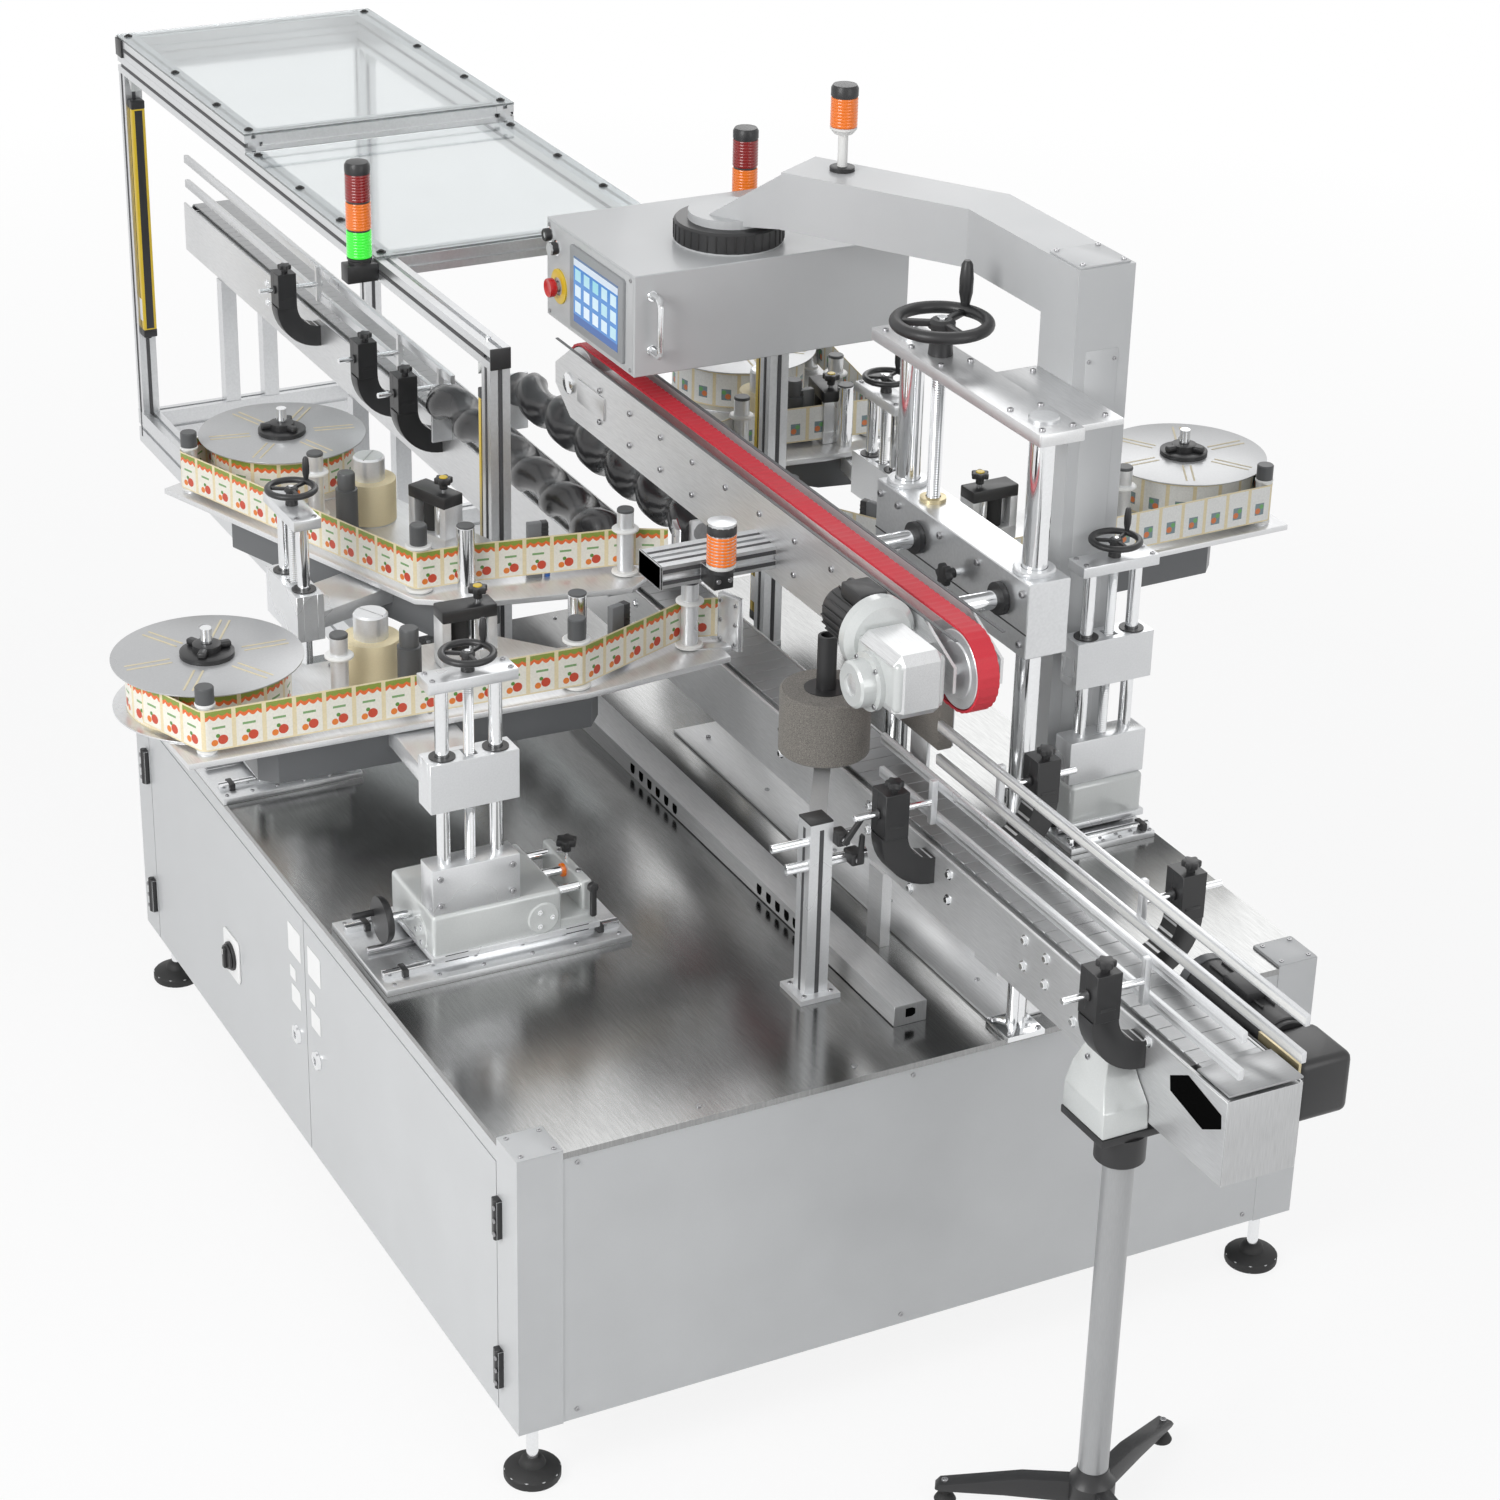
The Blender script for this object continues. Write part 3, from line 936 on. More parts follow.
KEY_RADIUS = 0.013
for place, reach in (((STOP_X - KEY_RADIUS, STOP_Z + KEY_RADIUS * 6), 0.020),
                     ((STOP_X - KEY_RADIUS * 3.5, STOP_Z + KEY_RADIUS * 7.5), 0.014)):
    box.rod(KEY_RADIUS, reach + JOIN, (place[0], BOX_FRONT - reach / 2 + JOIN / 2, place[1]), ALONG_Y, SMALL_STEPS)
box.finished()

SCREEN_X = -0.616
SCREEN_Z_RISE = 0.844
SCREEN_Z = TABLE_HEIGHT + SCREEN_Z_RISE
SCREEN_WIDTH = 0.250
SCREEN_HEIGHT = 0.175
SCREEN_BEZEL = 0.008
screen = Piece("screen", "screen_glass")
screen.block((SCREEN_WIDTH, SCREEN_BEZEL, SCREEN_HEIGHT),
             (SCREEN_X, BOX_FRONT - SEAT - SCREEN_BEZEL / 2, SCREEN_Z), bevel=SCREEN_BEZEL / 4)
screen.finished()

button = Piece("stop_button", "stop_red", (STOP_X, BOX_FRONT, STOP_Z))
button_face = BOX_FRONT - STOP_RING_THICKNESS - STOP_TRAVEL
button.turned(
    [(0, button_face - 0.020), (0.014, button_face - 0.018), (0.020, button_face - 0.010),
     (0.020, button_face - 0.004), (STOP_STEM, button_face - SEAT), (STOP_STEM, BOX_FRONT + SEAT), (0, BOX_FRONT + SEAT)],
    (STOP_X, 0, STOP_Z), ALONG_Y)
button.finished()

# Lift of the top belt: two columns, screw, bridge plate and feet
LIFT_FOOT_RADIUS = 0.040
LIFT_FOOT_HEIGHT = 0.014
LIFT_PLATE_START = -0.090
LIFT_PLATE_END = 0.530
LIFT_PLATE_DEPTH = 0.095
LIFT_TAB_START = 0.190
LIFT_TAB_END = 0.490
LIFT_BLOCK_START = -0.045
LIFT_BLOCK_END = 0.520
lift_low = TABLE_HEIGHT + SEAT
plate_low = LIFT_PLATE_TOP - LIFT_PLATE_THICKNESS
lift = Piece("lift_columns", "chrome", (LIFT_LEFT_X, LIFT_Y, TABLE_HEIGHT))
for x, radius in ((LIFT_LEFT_X, LIFT_COLUMN_RADIUS), (LIFT_RIGHT_X, LIFT_COLUMN_RADIUS),
                  (LIFT_SCREW_X, LIFT_SCREW_RADIUS)):
    lift.turned(
        [(0, plate_low + JOIN), (radius, plate_low + JOIN), (radius, lift_low + LIFT_FOOT_HEIGHT),
         (LIFT_FOOT_RADIUS, lift_low + LIFT_FOOT_HEIGHT), (LIFT_FOOT_RADIUS, lift_low), (0, lift_low)],
        (x, LIFT_Y, 0))
lift.block((LIFT_PLATE_END - LIFT_PLATE_START, LIFT_PLATE_DEPTH, LIFT_PLATE_THICKNESS),
           ((LIFT_PLATE_END + LIFT_PLATE_START) / 2, LIFT_Y, LIFT_PLATE_TOP - LIFT_PLATE_THICKNESS / 2))
tab_front = LIFT_Y + LIFT_PLATE_DEPTH / 2 - JOIN
tab_back = GANTRY_Y - GANTRY_WIDTH / 2 - SEAT
lift.block((LIFT_TAB_END - LIFT_TAB_START, tab_back - tab_front, LIFT_PLATE_THICKNESS * 0.5),
           ((LIFT_TAB_END + LIFT_TAB_START) / 2, (tab_back + tab_front) / 2,
            LIFT_PLATE_TOP - LIFT_PLATE_THICKNESS * 0.4))
lift.finished()


def handwheel(name, x, y, low, radius, finish="black_plastic"):
    """Rim on three spokes with a hub below and a crank handle on top."""
    wheel = Piece(name, finish, (x, y, low))
    rim = radius * 0.13
    rim_z = low + radius * 0.62
    section = circle(rim, (radius - rim, rim_z), 6)
    wheel.turned(section[::-1], (x, y, 0), steps=ROUND_STEPS, ring=True)
    wheel.turned(
        [(0, rim_z + rim * 0.6), (radius * 0.2, rim_z + rim * 0.6), (radius * 0.24, low), (0, low)],
        (x, y, 0), steps=SMALL_STEPS)
    for index in range(3):
        turn = FULL_TURN * index / 3
        reach = radius - rim * 1.5
        wheel.block((reach, radius * 0.16, rim), (x + math.cos(turn) * reach / 2, y + math.sin(turn) * reach / 2,
                                                  rim_z - rim * 0.1), turn)
    grip_x = x + (radius - rim) * math.cos(FULL_TURN / 3)
    grip_y = y + (radius - rim) * math.sin(FULL_TURN / 3)
    wheel.turned(
        [(0, rim_z + radius), (rim * 0.9, rim_z + radius * 0.95), (rim * 1.05, rim_z + radius * 0.6),
         (rim * 0.6, rim_z), (0, rim_z)],
        (grip_x, grip_y, 0), steps=SMALL_STEPS)
    wheel.finished()


handwheel("gantry_handwheel", LIFT_SCREW_X, LIFT_Y, LIFT_PLATE_TOP + SEAT, GANTRY_WHEEL_RADIUS)

# Lift block, bored for the columns and the screw, with the rods to the belt unit
BELT_Y = LANE_Y
BELT_PLATE_NEAR_Y = BELT_Y - 0.047
BELT_PLATE_BACK_Y = BELT_Y + 0.047
LIFT_ROD_RADIUS = 0.018
LIFT_ROD_XS = (0.120, 0.430)
LIFT_ROD_Z_RISE = 0.565
LIFT_ROD_Z = TABLE_HEIGHT + LIFT_ROD_Z_RISE
block_middle = LIFT_BLOCK_TOP - LIFT_BLOCK_HEIGHT / 2
block = Piece("lift_block", "aluminium", (LIFT_LEFT_X, LIFT_Y, block_middle))
block.block((LIFT_BLOCK_END - LIFT_BLOCK_START, LIFT_BLOCK_DEPTH, LIFT_BLOCK_HEIGHT),
            ((LIFT_BLOCK_END + LIFT_BLOCK_START) / 2, LIFT_Y, block_middle), bevel=JOIN * 2)
for x, radius in ((LIFT_LEFT_X, LIFT_COLUMN_RADIUS), (LIFT_RIGHT_X, LIFT_COLUMN_RADIUS),
                  (LIFT_SCREW_X, LIFT_SCREW_RADIUS)):
    block.rod(radius + RUNNING_CLEARANCE, LIFT_BLOCK_HEIGHT * 2, (x, LIFT_Y, block_middle), cut=True)
rod_front = BELT_PLATE_BACK_Y + BELT_SIDE_PLATE / 2 + SEAT
rod_back = LIFT_Y - LIFT_BLOCK_DEPTH / 2 + JOIN
for x in LIFT_ROD_XS:
    block.rod(LIFT_ROD_RADIUS, rod_back - rod_front, (x, (rod_back + rod_front) / 2, LIFT_ROD_Z), ALONG_Y)
block.finished()

# Belt unit: two side plates, inner beam and the gearmotor of the near pulley
BELT_TAIL_X = BELT_FAR_X + BELT_PULLEY_RADIUS
PLATE_HALF = 0.075
SHAFT_RADIUS = 0.012
BEAM_SHARE = 0.72
PLATE_TIP = 0.040
unit = Piece("belt_unit", "aluminium", (BELT_NEAR_X, BELT_Y, BELT_CENTRE_Z))
plate_shape = [
    (BELT_FAR_X, -PLATE_HALF * 0.3), (BELT_FAR_X + PLATE_HALF, -PLATE_HALF),
    (BELT_NEAR_X - PLATE_HALF, -PLATE_HALF), (BELT_NEAR_X + PLATE_TIP, -PLATE_TIP * 0.6),
    (BELT_NEAR_X + PLATE_TIP, PLATE_TIP * 0.6), (BELT_NEAR_X - PLATE_HALF, PLATE_HALF),
    (BELT_FAR_X + PLATE_HALF, PLATE_HALF), (BELT_FAR_X, PLATE_HALF * 0.3),
]
bores = [circle(SHAFT_RADIUS + RUNNING_CLEARANCE, (x, 0)) for x in (BELT_TAIL_X, BELT_NEAR_X)]
for y in (BELT_PLATE_NEAR_Y, BELT_PLATE_BACK_Y):
    unit.slab([plate_shape] + bores, BELT_SIDE_PLATE, (0, y, BELT_CENTRE_Z), FACING_Y)
beam_start = BELT_TAIL_X + BELT_PULLEY_RADIUS * 1.3
beam_end = BELT_NEAR_X - BELT_PULLEY_RADIUS * 1.3
unit.block((beam_end - beam_start, BELT_PLATE_BACK_Y - BELT_PLATE_NEAR_Y, BELT_PULLEY_RADIUS * 2 * BEAM_SHARE),
           ((beam_end + beam_start) / 2, BELT_Y, BELT_CENTRE_Z))
GEAR_X = 0.720
GEAR_Y = 0.045
GEAR_BLOCK = (0.150, 0.100, 0.120)
GEAR_FLANGE_RADIUS = 0.070
GEAR_MOTOR_RADIUS = 0.046
unit_face = BELT_PLATE_NEAR_Y - BELT_SIDE_PLATE / 2
unit.block(GEAR_BLOCK, (GEAR_X, GEAR_Y, BELT_CENTRE_Z + 0.010), bevel=0.016)
unit.block((GEAR_BLOCK[0] * 0.5, unit_face + JOIN - GEAR_Y, GEAR_BLOCK[2] * 0.4),
           (GEAR_X - GEAR_BLOCK[0] * 0.35, (unit_face + JOIN + GEAR_Y) / 2, BELT_CENTRE_Z + 0.020))
unit.turned(
    [(0, 0.040), (GEAR_FLANGE_RADIUS * 0.5, 0.036), (GEAR_FLANGE_RADIUS * 0.6, 0.012), (GEAR_FLANGE_RADIUS * 0.75, 0.010),
     (GEAR_FLANGE_RADIUS * 0.75, 0), (0, 0)],
    (GEAR_X - GEAR_BLOCK[0] * 0.1, GEAR_Y - GEAR_BLOCK[1] / 2 + JOIN, BELT_CENTRE_Z - 0.005),
    Matrix.Rotation(QUARTER_TURN, 4, "X"))
unit.turned(
    [(0, 0.150), (GEAR_MOTOR_RADIUS * 0.8, 0.150), (GEAR_MOTOR_RADIUS, 0.135), (GEAR_MOTOR_RADIUS, 0.040),
     (GEAR_FLANGE_RADIUS, 0.030), (GEAR_FLANGE_RADIUS, 0.012), (GEAR_FLANGE_RADIUS * 0.8, 0), (0, 0)],
    (GEAR_X - GEAR_BLOCK[0] * 0.45, GEAR_Y, BELT_CENTRE_Z + 0.045), Matrix.Rotation(-QUARTER_TURN, 4, "Y"))
unit.finished()

belt = Piece("hold_belt", "red_rubber")
belt_inner = (BELT_PULLEY_RADIUS + RUNNING_CLEARANCE) / math.cos(HALF_TURN / ROUND_STEPS / 2)
belt.slab(
    [obround(belt_inner + BELT_THICKNESS, BELT_TAIL_X, BELT_NEAR_X, ROUND_STEPS),
     obround(belt_inner, BELT_TAIL_X, BELT_NEAR_X, ROUND_STEPS)],
    BELT_WIDTH, (0, BELT_Y, BELT_CENTRE_Z), FACING_Y)
belt.finished()
for tag, x in (("near", BELT_NEAR_X), ("far", BELT_TAIL_X)):
    pulley = Piece("belt_pulley_" + tag, "aluminium", (x, BELT_Y, BELT_CENTRE_Z))
    half_shaft = BELT_PLATE_BACK_Y - BELT_Y + BELT_SIDE_PLATE / 2 - SEAT
    half_face = BELT_WIDTH / 2
    pulley.turned(
        [(0, half_shaft), (SHAFT_RADIUS, half_shaft), (SHAFT_RADIUS, half_face * 1.4),
         (SHAFT_RADIUS * 2.2, half_face * 1.4), (SHAFT_RADIUS * 2.2, half_face), (BELT_PULLEY_RADIUS, half_face),
         (BELT_PULLEY_RADIUS, -half_face), (SHAFT_RADIUS * 2.2, -half_face), (SHAFT_RADIUS * 2.2, -half_face * 1.4),
         (SHAFT_RADIUS, -half_face * 1.4), (SHAFT_RADIUS, -half_shaft), (0, -half_shaft)],
        (x, BELT_Y, BELT_CENTRE_Z), ALONG_Y, steps=ROUND_STEPS * 2)
    pulley.finished()

# Slotted cross bar with end cap and beacon
BAR_X = 0.075
BAR_WIDTH = 0.090
BAR_START = -0.120
BAR_LOW_RISE = 0.555
BAR_LOW = TABLE_HEIGHT + BAR_LOW_RISE
bar = Piece("cross_bar", "aluminium", (BAR_X, BAR_START, BAR_LOW + PROFILE / 2))
bar_end = unit_face - SEAT
bar.slab([slotted(PROFILE, BAR_WIDTH)], bar_end - BAR_START,
         (BAR_X, (bar_end + BAR_START) / 2, BAR_LOW + PROFILE / 2), ALONG_Y)
bar.block((BAR_WIDTH * 1.03, PANEL_THICKNESS, PROFILE * 1.05),
          (BAR_X, BAR_START - PANEL_THICKNESS / 2 + JOIN, BAR_LOW + PROFILE / 2))
bracket_x = BAR_X + BAR_WIDTH / 2 + TOWER_RADIUS - JOIN
bar.block((TOWER_RADIUS * 2, BRACKET, BRACKET * 0.9), (bracket_x, -0.020, BAR_LOW + PROFILE / 2))
lamp_stack(bar, bracket_x + TOWER_RADIUS * 0.6, -0.020, BAR_LOW + PROFILE / 2 + BRACKET * 0.4, 1)
bar.finished()

# Foam roller on its post, and the foam pad across the lane
FOAM_X = 0.450
FOAM_Y = 0.050
FOAM_RADIUS = 0.084
FOAM_LOW_RISE = 0.340
FOAM_LOW = TABLE_HEIGHT + FOAM_LOW_RISE
FOAM_TOP_RISE = 0.466
FOAM_TOP = TABLE_HEIGHT + FOAM_TOP_RISE
AXLE_RADIUS = 0.012
POST_X = 0.700
POST_Y = -0.100
POST_ROD_LENGTH = 0.160
POST_TOP_RISE = 0.350
POST_TOP = TABLE_HEIGHT + POST_TOP_RISE
ARM_HEIGHT = 0.016
AXLE_TOP_RISE = 0.470
AXLE_TOP = TABLE_HEIGHT + AXLE_TOP_RISE
TUBE_TOP_RISE = 0.570
TUBE_TOP = TABLE_HEIGHT + TUBE_TOP_RISE
roller = Piece("foam_roller", "foam", (FOAM_X, FOAM_Y, FOAM_LOW))
roller.turned(
    [(AXLE_RADIUS + RUNNING_CLEARANCE, TUBE_TOP), (AXLE_RADIUS * 1.5, TUBE_TOP), (AXLE_RADIUS * 1.5, FOAM_TOP + JOIN * 4),
     (AXLE_RADIUS * 2, FOAM_TOP), (FOAM_RADIUS, FOAM_TOP), (FOAM_RADIUS, FOAM_LOW),
     (AXLE_RADIUS + RUNNING_CLEARANCE, FOAM_LOW)],
    (FOAM_X, FOAM_Y, 0), steps=ROUND_STEPS + 8, ring=True)
roller.finished()

post = Piece("roller_post", "stainless", (POST_X, POST_Y, TABLE_HEIGHT))
post_low = TABLE_HEIGHT + SEAT
post.block((POST_BAR * 0.9, POST_BAR * 0.9, POST_TOP - post_low), (POST_X, POST_Y, (POST_TOP + post_low) / 2))
post.block((POST_BAR * 1.6, POST_BAR * 1.6, BASE_PLATE_THICKNESS), (POST_X, POST_Y, post_low + BASE_PLATE_THICKNESS / 2))
reach = Vector((FOAM_X - POST_X, FOAM_Y - POST_Y))
arm_z = FOAM_LOW - ARM_HEIGHT * 1.4
post.block((reach.length, POST_BAR * 0.6, ARM_HEIGHT),
           (POST_X + reach.x / 2, POST_Y + reach.y / 2, arm_z), math.atan2(reach.y, reach.x))
post.turned(
    [(0, AXLE_TOP), (AXLE_RADIUS, AXLE_TOP), (AXLE_RADIUS, FOAM_LOW - SEAT), (AXLE_RADIUS * 2, FOAM_LOW - SEAT),
     (AXLE_RADIUS * 2, arm_z), (0, arm_z)],
    (FOAM_X, FOAM_Y, 0))
for index in (0, 1):
    rod_z = POST_TOP - POST_BAR * (0.7 + index)
    post.rod(CLAMP_ROD_RADIUS, POST_ROD_LENGTH, (POST_X + POST_BAR * 0.3, POST_Y - 0.015 * (1 - 2 * index), rod_z), ALONG_Y, SMALL_STEPS)
post.finished()

PAD_X = 0.470
PAD_LENGTH = 0.150
PAD_THICKNESS = 0.030
PAD_Y = 0.250
PAD_BRACKET_RISE = 0.210
PAD_BRACKET_LOW = TABLE_HEIGHT + PAD_BRACKET_RISE
pad = Piece("foam_pad", "foam")
pad.block((PAD_LENGTH, PAD_THICKNESS, FOAM_TOP - FOAM_LOW), (PAD_X, PAD_Y, (FOAM_TOP + FOAM_LOW) / 2))
bracket_face = LANE_Y + PLATE_FACE + SEAT
pad.block((PAD_LENGTH * 0.4, BASE_PLATE_THICKNESS, FOAM_LOW + JOIN * 10 - PAD_BRACKET_LOW),
          (PAD_X, bracket_face + BASE_PLATE_THICKNESS / 2, (FOAM_LOW + JOIN * 10 + PAD_BRACKET_LOW) / 2))
pad.finished()

# Label heads
REEL_PLACE = (0.065, 0.215)
LEFT_ROLLER = (0.0, 0.020)
HEAD_PIN_TOP_RISE = 0.530
HEAD_PIN_TOP = TABLE_HEIGHT + HEAD_PIN_TOP_RISE
ROLLER_TOP_RISE = 0.520
ROLLER_TOP = TABLE_HEIGHT + ROLLER_TOP_RISE
WEB_LOW_RISE = 0.390
WEB_LOW = TABLE_HEIGHT + WEB_LOW_RISE
WEB_TOP = WEB_LOW + WEB_WIDTH
WEB_RADIUS = ROLLER_RADIUS + SEAT * 5
REWINDER_RADIUS = 0.055
REWINDER_CORE = 0.033
SHORT_RUN = 0.290
LONG_LAYOUT = dict(
    deck=[(-0.045, -0.015), (0.720, -0.015), (1.030, 0.030), (1.030, 0.150), (0.740, 0.190), (0.640, 0.300),
          (0.280, 0.300), (0.240, 0.370), (-0.010, 0.370), (-0.060, 0.200)],
    housing=[(0.100, 0.050), (0.130, 0.020), (0.740, 0.020), (0.770, 0.060), (0.770, 0.160), (0.600, 0.270), (0.100, 0.270)],
    plain=[(0.284, 0.120), (0.710, 0.020), (0.975, 0.100)], steel=[(0.755, 0.125)], dark=(0.410, 0.095), nip=(0.560, 0.200),
    rewinder=(0.370, 0.190), path=[(0.710, 0.020, 1), (0.975, 0.100, -1)], end=(1.036, 0.105), peel=(1.052, 0.085, 0.35))
TURNED_LAYOUT = dict(
    deck=[(-0.045, -0.015), (0.735, -0.015), (0.830, 0.060), (0.990, 0.330), (0.960, 0.430), (0.870, 0.430),
          (0.740, 0.290), (0.280, 0.300), (0.240, 0.370), (-0.010, 0.370), (-0.060, 0.200)],
    housing=[(0.100, 0.050), (0.130, 0.020), (0.740, 0.020), (0.790, 0.060), (0.790, 0.160), (0.600, 0.270), (0.100, 0.270)],
    plain=[(0.284, 0.120), (0.710, 0.020), (0.930, 0.370)], steel=[(0.775, 0.085)], dark=(0.410, 0.095), nip=(0.560, 0.200),
    rewinder=(0.370, 0.190), path=[(0.710, 0.020, 1), (0.775, 0.085, -1), (0.930, 0.370, -1)], end=(0.979, 0.441),
    peel=(0.990, 0.452, 0.9))
SHORT_LAYOUT = dict(
    deck=[(-0.045, -0.015), (0.445, -0.015), (0.500, 0.060), (0.520, 0.160), (0.530, 0.330), (0.500, 0.400), (0.420, 0.400),
          (0.380, 0.290), (0.280, 0.300), (0.240, 0.370), (-0.010, 0.370), (-0.060, 0.200)],
    housing=[(0.100, 0.050), (0.130, 0.020), (0.440, 0.020), (0.480, 0.060), (0.480, 0.160), (0.400, 0.270), (0.100, 0.270)],
    plain=[(0.284, 0.060), (0.420, 0.020), (0.480, 0.340)], steel=[(0.465, 0.100)], dark=(0.410, 0.200), nip=(0.400, 0.120),
    rewinder=(0.330, 0.240), path=[(0.420, 0.020, 1), (0.480, 0.340, -1)], end=(0.500, 0.412),
    peel=(0.506, 0.424, 1.2))
LAYOUTS = {"h1": LONG_LAYOUT, "h2": TURNED_LAYOUT, "h3": TURNED_LAYOUT, "h4": SHORT_LAYOUT}


def web_route(circles):
    """Path of a band pulled round circles of (x, y, radius, side)."""
    points = []
    for (x0, y0, r0, s0), (x1, y1, r1, s1) in zip(circles, circles[1:]):
        gap = Vector((x1 - x0, y1 - y0))
        turn = math.atan2(gap.y, gap.x) + math.asin((s0 * r0 - s1 * r1) / gap.length)
        across = Vector((-math.sin(turn), math.cos(turn)))
        points.append((turn, Vector((x0, y0)) - across * (s0 * r0), Vector((x1, y1)) - across * (s1 * r1)))
    route = [points[0][1]]
    for (turn, start, end), (next_turn, next_start, _), (x, y, radius, side) in zip(points, points[1:], circles[1:]):
        sweep = (next_turn - turn + HALF_TURN) % FULL_TURN - HALF_TURN
        centre = Vector((x, y))
        steps = max(1, int(abs(sweep) / 0.35))
        route += [centre + Matrix.Rotation(sweep * step / steps, 2) @ (end - centre) for step in range(steps + 1)]
    route.append(points[-1][2])
    return route


def ribbon(route, thickness):
    """Outline of a band of even thickness along the route."""
    sides = ([], [])
    for index, point in enumerate(route):
        back = route[max(index - 1, 0)]
        ahead = route[min(index + 1, len(route) - 1)]
        across = (ahead - back).normalized().orthogonal() * thickness / 2
        sides[0].append(tuple(point + across))
        sides[1].append(tuple(point - across))
    return sides[0] + sides[1][::-1]


def spool(top, cap, radius, flange):
    """Profile of a roller: body with a flange above and below the web."""
    low, high = WEB_LOW - 0.002, WEB_TOP + 0.002
    return [(0, top), (cap, top), (cap, high + ROLLER_FLANGE), (flange, high + ROLLER_FLANGE), (flange, high),
            (radius, high), (radius, low), (flange, low), (flange, DECK_TOP - JOIN), (0, DECK_TOP - JOIN)]


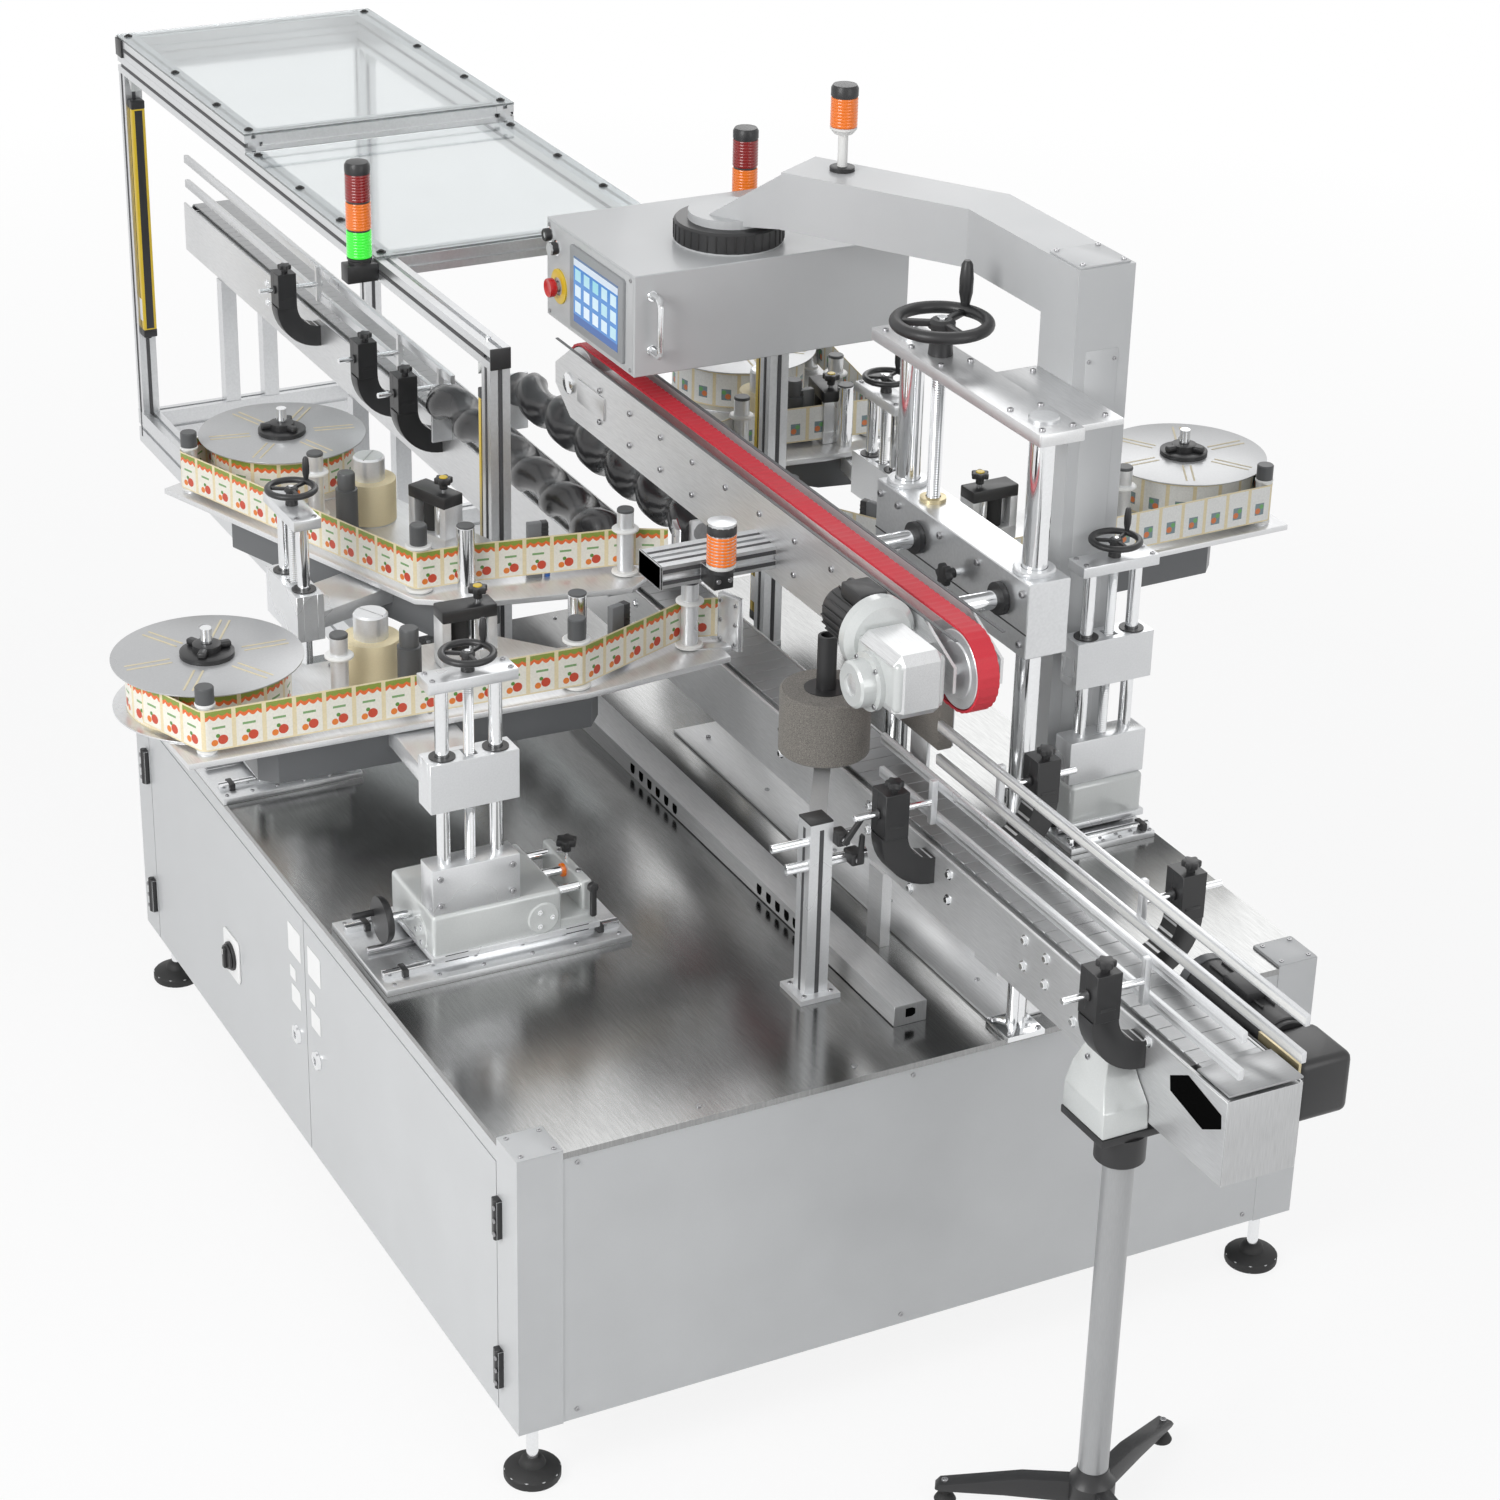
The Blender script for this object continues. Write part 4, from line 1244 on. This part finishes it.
for tag, head in HEADS.items():
    layout = LAYOUTS[tag]
    placing = (Matrix.Translation((*head["origin"], 0)) @ Matrix.Rotation(math.radians(head["heading"]), 4, "Z")
               @ Matrix.Diagonal((1, head["side"], 1, 1)))
    stand_at = Matrix.Translation((*head["column"], 0)) @ Matrix.Rotation(math.radians(head["facing"]), 4, "Z")
    with_web = tag in ("h1", "h2")

    # Column: casting on the slide, foot block, two rods, screw, top plate
    column = Piece("column_" + tag, "aluminium", (0, 0, SLIDE_TOP), stand_at)
    length, width, shift_x, shift_y = head["casting"]
    casting_top = COLUMN_FOOT - 0.030
    column.block((length, width, casting_top - SLIDE_TOP - SEAT),
                 (shift_x, shift_y, (casting_top + SLIDE_TOP + SEAT) / 2), bevel=0.004)
    column.block((COLUMN_WIDTH, COLUMN_DEPTH, 0.090 + JOIN), (0, 0, casting_top + 0.045 - JOIN / 2))
    for x, radius in ((-COLUMN_ROD_SPACING / 2, COLUMN_ROD_RADIUS), (0, HEAD_SCREW_RADIUS),
                      (COLUMN_ROD_SPACING / 2, COLUMN_ROD_RADIUS)):
        column.rod(radius, COLUMN_HEIGHT - 0.015 - casting_top - 0.085,
                   (x, 0, (COLUMN_HEIGHT - 0.015 + casting_top + 0.085) / 2), steps=SMALL_STEPS)
    column.block((COLUMN_WIDTH, COLUMN_DEPTH, 0.022), (0, 0, COLUMN_HEIGHT - 0.011), bevel=0.002)
    if with_web:
        wheel_x = shift_x - length / 2 - 0.030
        column.rod(0.008, 0.062, (wheel_x + 0.001, shift_y, casting_top - 0.040), ALONG_X, SMALL_STEPS)
        column.turned([(0, 0.020), (0.012, 0.020), (0.040, 0.014), (0.044, 0.008), (0.044, 0), (0, 0)],
                      (wheel_x - 0.030, shift_y, casting_top - 0.040), ALONG_X, steps=ROUND_STEPS)
        column.rod(0.006, 0.042, (wheel_x - 0.050, shift_y + 0.030, casting_top - 0.040), ALONG_X, SMALL_STEPS)
    column.finished()
    handwheel("wheel_" + tag, *head["column"], COLUMN_HEIGHT + SEAT, HEAD_WHEEL_RADIUS)

    # Head: deck, housing, rollers, nip block, arm and clamp block
    body = Piece("head_" + tag, "aluminium", (*REEL_PLACE, DECK_TOP), placing)
    body.slab([layout["deck"]], DECK_THICKNESS, (0, 0, DECK_TOP - DECK_THICKNESS / 2))
    housing_top = DECK_TOP - DECK_THICKNESS + JOIN
    body.slab([layout["housing"]], HOUSING_HEIGHT, (0, 0, housing_top - HOUSING_HEIGHT / 2))
    body.turned(spool(HEAD_PIN_TOP - 0.020, ROLLER_RADIUS, ROLLER_RADIUS, ROLLER_RADIUS * 1.1), (*LEFT_ROLLER, 0),
                steps=SMALL_STEPS)
    for x, y in layout["plain"]:
        body.turned(spool(ROLLER_TOP, ROLLER_RADIUS, ROLLER_RADIUS, ROLLER_FLANGE_RADIUS), (x, y, 0), steps=SMALL_STEPS)
    for x, y in layout["steel"]:
        body.rod(ROLLER_RADIUS * 1.05, ROLLER_TOP - DECK_TOP + JOIN, (x, y, (ROLLER_TOP + DECK_TOP - JOIN) / 2),
                 steps=SMALL_STEPS)
    dark_x, dark_y = layout["dark"]
    body.rod(0.0225, ROLLER_TOP - DECK_TOP + JOIN, (dark_x, dark_y, (ROLLER_TOP + DECK_TOP - JOIN) / 2), steps=SMALL_STEPS)
    nip_x, nip_y = layout["nip"]
    body.block((0.110, 0.050, 0.120 + JOIN), (nip_x, nip_y, DECK_TOP + 0.060 - JOIN / 2), bevel=0.004)
    body.turned([(0, 0.034), (0.016, 0.034), (0.018, 0.010), (0.022, 0.008), (0.022, 0), (0, 0)],
                (nip_x + 0.025, nip_y, DECK_TOP + 0.120 - JOIN), steps=SMALL_STEPS)
    peel_x, peel_y, peel_turn = layout["peel"]
    body.block((0.012, 0.060, 0.110), (peel_x, peel_y, DECK_TOP + 0.045), peel_turn)
    route_end = Vector(layout["end"])
    peel_back = Vector(layout["path"][-1][:2])
    peel_mid = (peel_back + Vector((peel_x, peel_y))) / 2
    away = Vector((peel_x, peel_y)) - peel_back
    body.block((away.length, 0.040, 0.012), (peel_mid.x, peel_mid.y, DECK_TOP - 0.004), math.atan2(away.y, away.x))
    column_here = placing.inverted() @ Vector((*head["column"], 0))
    left, right = (column_here.x + shift for shift in head["arm"][:2])
    near, far = column_here.y + head["arm"][2], head["arm"][3]
    body.block((right - left, far - near, 0.036), ((left + right) / 2, (far + near) / 2, CLAMP_BLOCK_BOTTOM + 0.022))
    body.frame = stand_at
    clamp_z = CLAMP_BLOCK_BOTTOM + CLAMP_BLOCK_HEIGHT / 2
    body.block((COLUMN_WIDTH, COLUMN_DEPTH, CLAMP_BLOCK_HEIGHT), (0, 0, clamp_z), bevel=0.002)
    for x, radius in ((-COLUMN_ROD_SPACING / 2, COLUMN_ROD_RADIUS), (0, HEAD_SCREW_RADIUS),
                      (COLUMN_ROD_SPACING / 2, COLUMN_ROD_RADIUS)):
        body.rod(radius + RUNNING_CLEARANCE, CLAMP_BLOCK_HEIGHT * 2, (x, 0, clamp_z), steps=SMALL_STEPS, cut=True)
    body.frame = placing

    # Web from the reel over the rollers to the peel plate
    hug = WEB_RADIUS if with_web else ROLLER_RADIUS
    circles = [(*REEL_PLACE, LABEL_ROLL_RADIUS + SEAT * 6, 1), (*LEFT_ROLLER, hug, 1)]
    circles += [(x, y, hug, side) for x, y, side in layout["path"]]
    circles.append((*layout["end"], 0, 1))
    route = web_route(circles)
    if with_web:
        web = Piece("web_" + tag, "label_paper", (*REEL_PLACE, WEB_LOW), placing)
        web.slab([ribbon(route, WEB_THICKNESS)], WEB_WIDTH - JOIN, (0, 0, (WEB_LOW + WEB_TOP) / 2))
        web.finished()
        rewinder = Piece("rewinder_" + tag, "label_paper", (*layout["rewinder"], DECK_TOP), placing)
        rewinder.turned(
            [(0, ROLLER_TOP), (REWINDER_CORE, ROLLER_TOP), (REWINDER_CORE, WEB_TOP), (REWINDER_RADIUS, WEB_TOP),
             (REWINDER_RADIUS, DECK_TOP + SEAT * 2), (0, DECK_TOP + SEAT * 2)], (*layout["rewinder"], 0))
        rewinder.finished()
    else:
        body.slab([ribbon(route, WEB_THICKNESS * 2)], WEB_WIDTH, (0, 0, (WEB_LOW + WEB_TOP) / 2))
        body.turned(
            [(0, ROLLER_TOP), (REWINDER_CORE, ROLLER_TOP), (REWINDER_CORE, WEB_TOP), (REWINDER_RADIUS, WEB_TOP),
             (REWINDER_RADIUS, DECK_TOP - JOIN), (0, DECK_TOP - JOIN)], (*layout["rewinder"], 0), steps=SMALL_STEPS)
    body.finished()

    # Reel: label roll between two flanges on a hub
    reel = Piece("reel_" + tag, "label_paper", (*REEL_PLACE, DECK_TOP), placing)
    low = DECK_TOP + SEAT
    high = WEB_TOP + SEAT * 8
    reel.turned(
        [(0, HEAD_PIN_TOP), (0.020, HEAD_PIN_TOP), (0.020, high + 0.028), (0.050, high + 0.024), (0.050, high + FLANGE_THICKNESS),
         (REEL_RADIUS, high + FLANGE_THICKNESS), (REEL_RADIUS, high), (LABEL_ROLL_RADIUS, high),
         (LABEL_ROLL_RADIUS, low + FLANGE_THICKNESS), (REEL_RADIUS, low + FLANGE_THICKNESS), (REEL_RADIUS, low), (0, low)],
        (*REEL_PLACE, 0), steps=ROUND_STEPS + 8)
    reel.finished()
